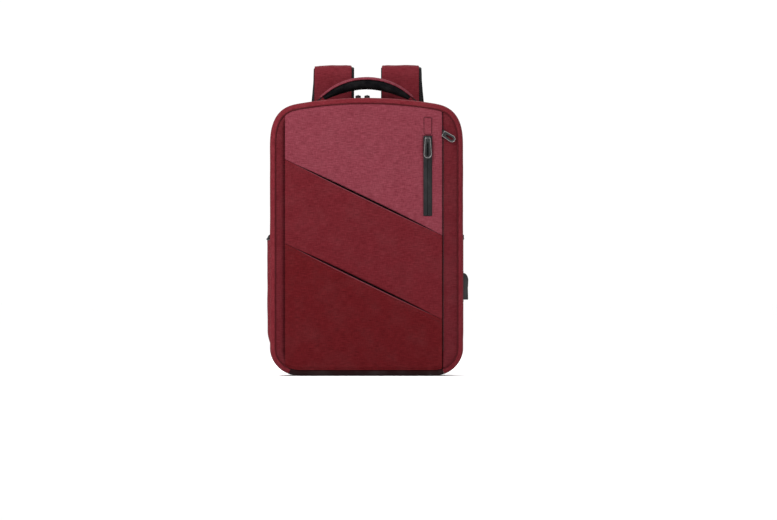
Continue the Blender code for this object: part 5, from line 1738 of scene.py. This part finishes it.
def makeInside():
    low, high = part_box("front_divider")
    top, bottom = outlineEdges(low.z + 0.0002)

    def dividerPlace(u, v):
        x = low.x + 0.0002 + (high.x - low.x - 0.0004) * ease(u)
        z = bottom(x) + (top(x) - bottom(x)) * ease(v)
        edge = min(x - low.x, high.x - x, top(x) - z, z - bottom(x))
        ripple = 0.0008 * soften(x, 2, z, 16) * smoothstep(edge / 0.04)
        return Vector((x, (low.y + high.y) / 2 - 0.0005 + ripple, z))

    clothPiece("frontDivider", (80, 120), dividerPlace, 0.0010, "front_shell",
               ["front_divider"], [liningCloth], flat=True)

    low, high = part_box("front_pocket_floor")

    def floorPlace(u, v):
        x = low.x + (high.x - low.x) * u
        edge = min(x - low.x, high.x - x)
        return Vector((x, low.y + (high.y - low.y) * v, high.z - 0.0002 - quarterRoll(edge, 0.0008)))

    clothPiece("pocketFloor", (90, 14), floorPlace, 0.0011, "front_shell",
               ["front_pocket_floor"], [liningCloth])

    low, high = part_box("laptop_sleeve")
    corner = inside["corner"]
    course = [(high.x, high.y), (high.x, low.y + corner)]
    for step in range(1, 7):
        a = math.radians(90 * step / 7)
        course.append((high.x - corner + corner * math.cos(a), low.y + corner - corner * math.sin(a)))
    course += [(high.x - corner, low.y), (low.x + corner, low.y)]
    course += [(-x, y) for x, y in reversed(course[1:-2])] + [(low.x, high.y)]
    course = evenCourse([Vector((x, y, 0)) for x, y in course], 200)
    flip = list(reversed(course))

    def sleevePlace(u, v, proud=0.0):
        # the front wall and both sides of the sleeve, quilted
        spot = u * 200
        index = min(199, int(spot))
        p = flip[index].lerp(flip[index + 1], spot - index)
        along = (flip[index + 1] - flip[index]).normalized()
        out = Vector((along.y, -along.x, 0))
        z = low.z + (high.z - low.z) * v
        diagonals = [abs(math.sin(math.pi * (u * 0.306 + slant * z) / inside["quilt"]))
                     for slant in (1, -1)]
        pillow = inside["quiltDepth"] * (min(diagonals) ** 0.5 - 1)
        pillow *= smoothstep((high.z - z - inside["bind"]) / 0.01)
        spot = p + out * (pillow + proud - 0.0003)
        return Vector((spot.x, spot.y, z))

    clothPiece("laptopSleeve", (260, 150), sleevePlace, 0.0012, "rear_shell",
               ["laptop_sleeve"], [liningCloth])

    def bindingPlace(u, v):
        # binding folded over the sleeve's top edge
        height = inside["bind"]
        if v < 0.44:
            return sleevePlace(u, 1 - (1 - v / 0.44) * height / (high.z - low.z), 0.0007)
        if v > 0.56:
            return sleevePlace(u, 1 - (v - 0.56) / 0.44 * height / (high.z - low.z), -0.0022)
        turn = (v - 0.44) / 0.12 * math.pi
        crest = sleevePlace(u, 1.0, -0.00075 + 0.00145 * math.cos(turn))
        return crest + Vector((0, 0, 0.0009 * math.sin(turn)))

    clothPiece("sleeveBinding", (200, 22), bindingPlace, 0.0005, "rear_shell",
               materials=[elasticBand])
    bm = bmesh.new()
    bmesh.ops.create_grid(bm, x_segments=30, y_segments=4, size=0.5)
    bmesh.ops.scale(bm, vec=(high.x - low.x - 0.003, high.y - low.y - 0.002, 1), verts=bm.verts)
    bmesh.ops.translate(bm, vec=(0, (low.y + high.y) / 2, low.z + 0.0012), verts=bm.verts)
    bm.loops.layers.uv.new("cloth")
    for face in bm.faces:
        for loop in face.loops:
            loop[bm.loops.layers.uv["cloth"]].uv = loop.vert.co.xy
    foot = thicken(makeObject("sleeveFloor", bm), 0.0011)
    finishPiece(foot, "rear_shell", materials=[liningCloth])


def makeLaptopStrap():
    low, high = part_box("laptop_strap")
    course = [(0, high.y - 0.0008, high.z - 0.0004), (0, high.y - 0.0030, high.z - 0.0060),
              (0, high.y - 0.0110, high.z - 0.0200), (0, low.y + 0.0060, high.z - 0.0325),
              (0, low.y + 0.0008, high.z - 0.0400), (0, low.y + 0.0004, high.z - 0.0480),
              (0, low.y + 0.0004, low.z)]
    band = ribbon("laptopStrap", smoothCourse(course, 10), high.x - low.x, 0.0016,
                  lambda point: Vector((-1, 0, 0)), 80,
                  lambda v: 1.0 - 0.12 * smoothstep((v - 0.95) / 0.05))
    finishPiece(band, "laptop_strap", ["laptop_strap"], [webbing])
    for index, height in enumerate((0.006, 0.026)):
        row = [Vector((x, low.y - 0.0002, low.z + height)) for x in (-0.0125, 0.0125)]
        stitchLine(f"laptopStitches{index}", row, (0, -1, 0), "laptop_strap", blackThread,
                   stitches["laptop"])


makeInside()
makeLaptopStrap()
print("inside made")


# stage
def makeStage():
    bm = bmesh.new()
    bmesh.ops.create_grid(bm, x_segments=8, y_segments=8, size=20.0)
    floor = makeObject("floor", bm)
    material, tree, shader, place = startMaterial("paleFloor", uv=False)
    shader.inputs["Roughness"].default_value = 0.9
    tone = noiseAt(tree, place, 3.0, 3.0)
    tree.links.new(blendColour(tree, tone, (0.955, 0.955, 0.955), (0.975, 0.975, 0.975)),
                   shader.inputs["Base Color"])
    floor.data.materials.append(material)


studio = dict(
    world=1.04,
    key=dict(place=(-0.75, -1.15, 1.50), size=0.8, power=34.0),
    fill=dict(place=(1.6, -2.2, 0.9), size=1.6, power=3.0),
    back=dict(place=(0.5, 2.0, 1.7), size=1.2, power=34.0),
    camera=dict(place=(0.0352, -12.0, 0.1856), wide=1.2432, sensor=36.0),
)


def aimAt(item, place, target):
    item.location = place
    item.rotation_euler = (Vector(target) - Vector(place)).to_track_quat("-Z", "Y").to_euler()


def makeStudio():
    world = bpy.data.worlds.new("softWhite")
    world.use_nodes = True
    background = world.node_tree.nodes["Background"]
    background.inputs["Color"].default_value = (1.0, 1.0, 1.0, 1.0)
    background.inputs["Strength"].default_value = studio["world"]
    bpy.context.scene.world = world
    for name in ("key", "fill", "back"):
        setting = studio[name]
        light = bpy.data.lights.new(name, "AREA")
        light.size = setting["size"]
        light.energy = setting["power"]
        lamp = bpy.data.objects.new(name, light)
        bpy.context.scene.collection.objects.link(lamp)
        aimAt(lamp, setting["place"], (0, 0, 0.25))
    setting = studio["camera"]
    view = bpy.data.cameras.new("camera")
    view.sensor_width = setting["sensor"]
    view.lens = setting["sensor"] * (faceY - setting["place"][1]) / setting["wide"]
    eye = bpy.data.objects.new("camera", view)
    bpy.context.scene.collection.objects.link(eye)
    x, _, z = setting["place"]
    aimAt(eye, setting["place"], (x, 0.0, z))
    bpy.context.scene.camera = eye
    look = bpy.context.scene.view_settings
    look.view_transform = "Standard"
    look.look = "None"


makeStage()
makeStudio()
print("stage and camera made")
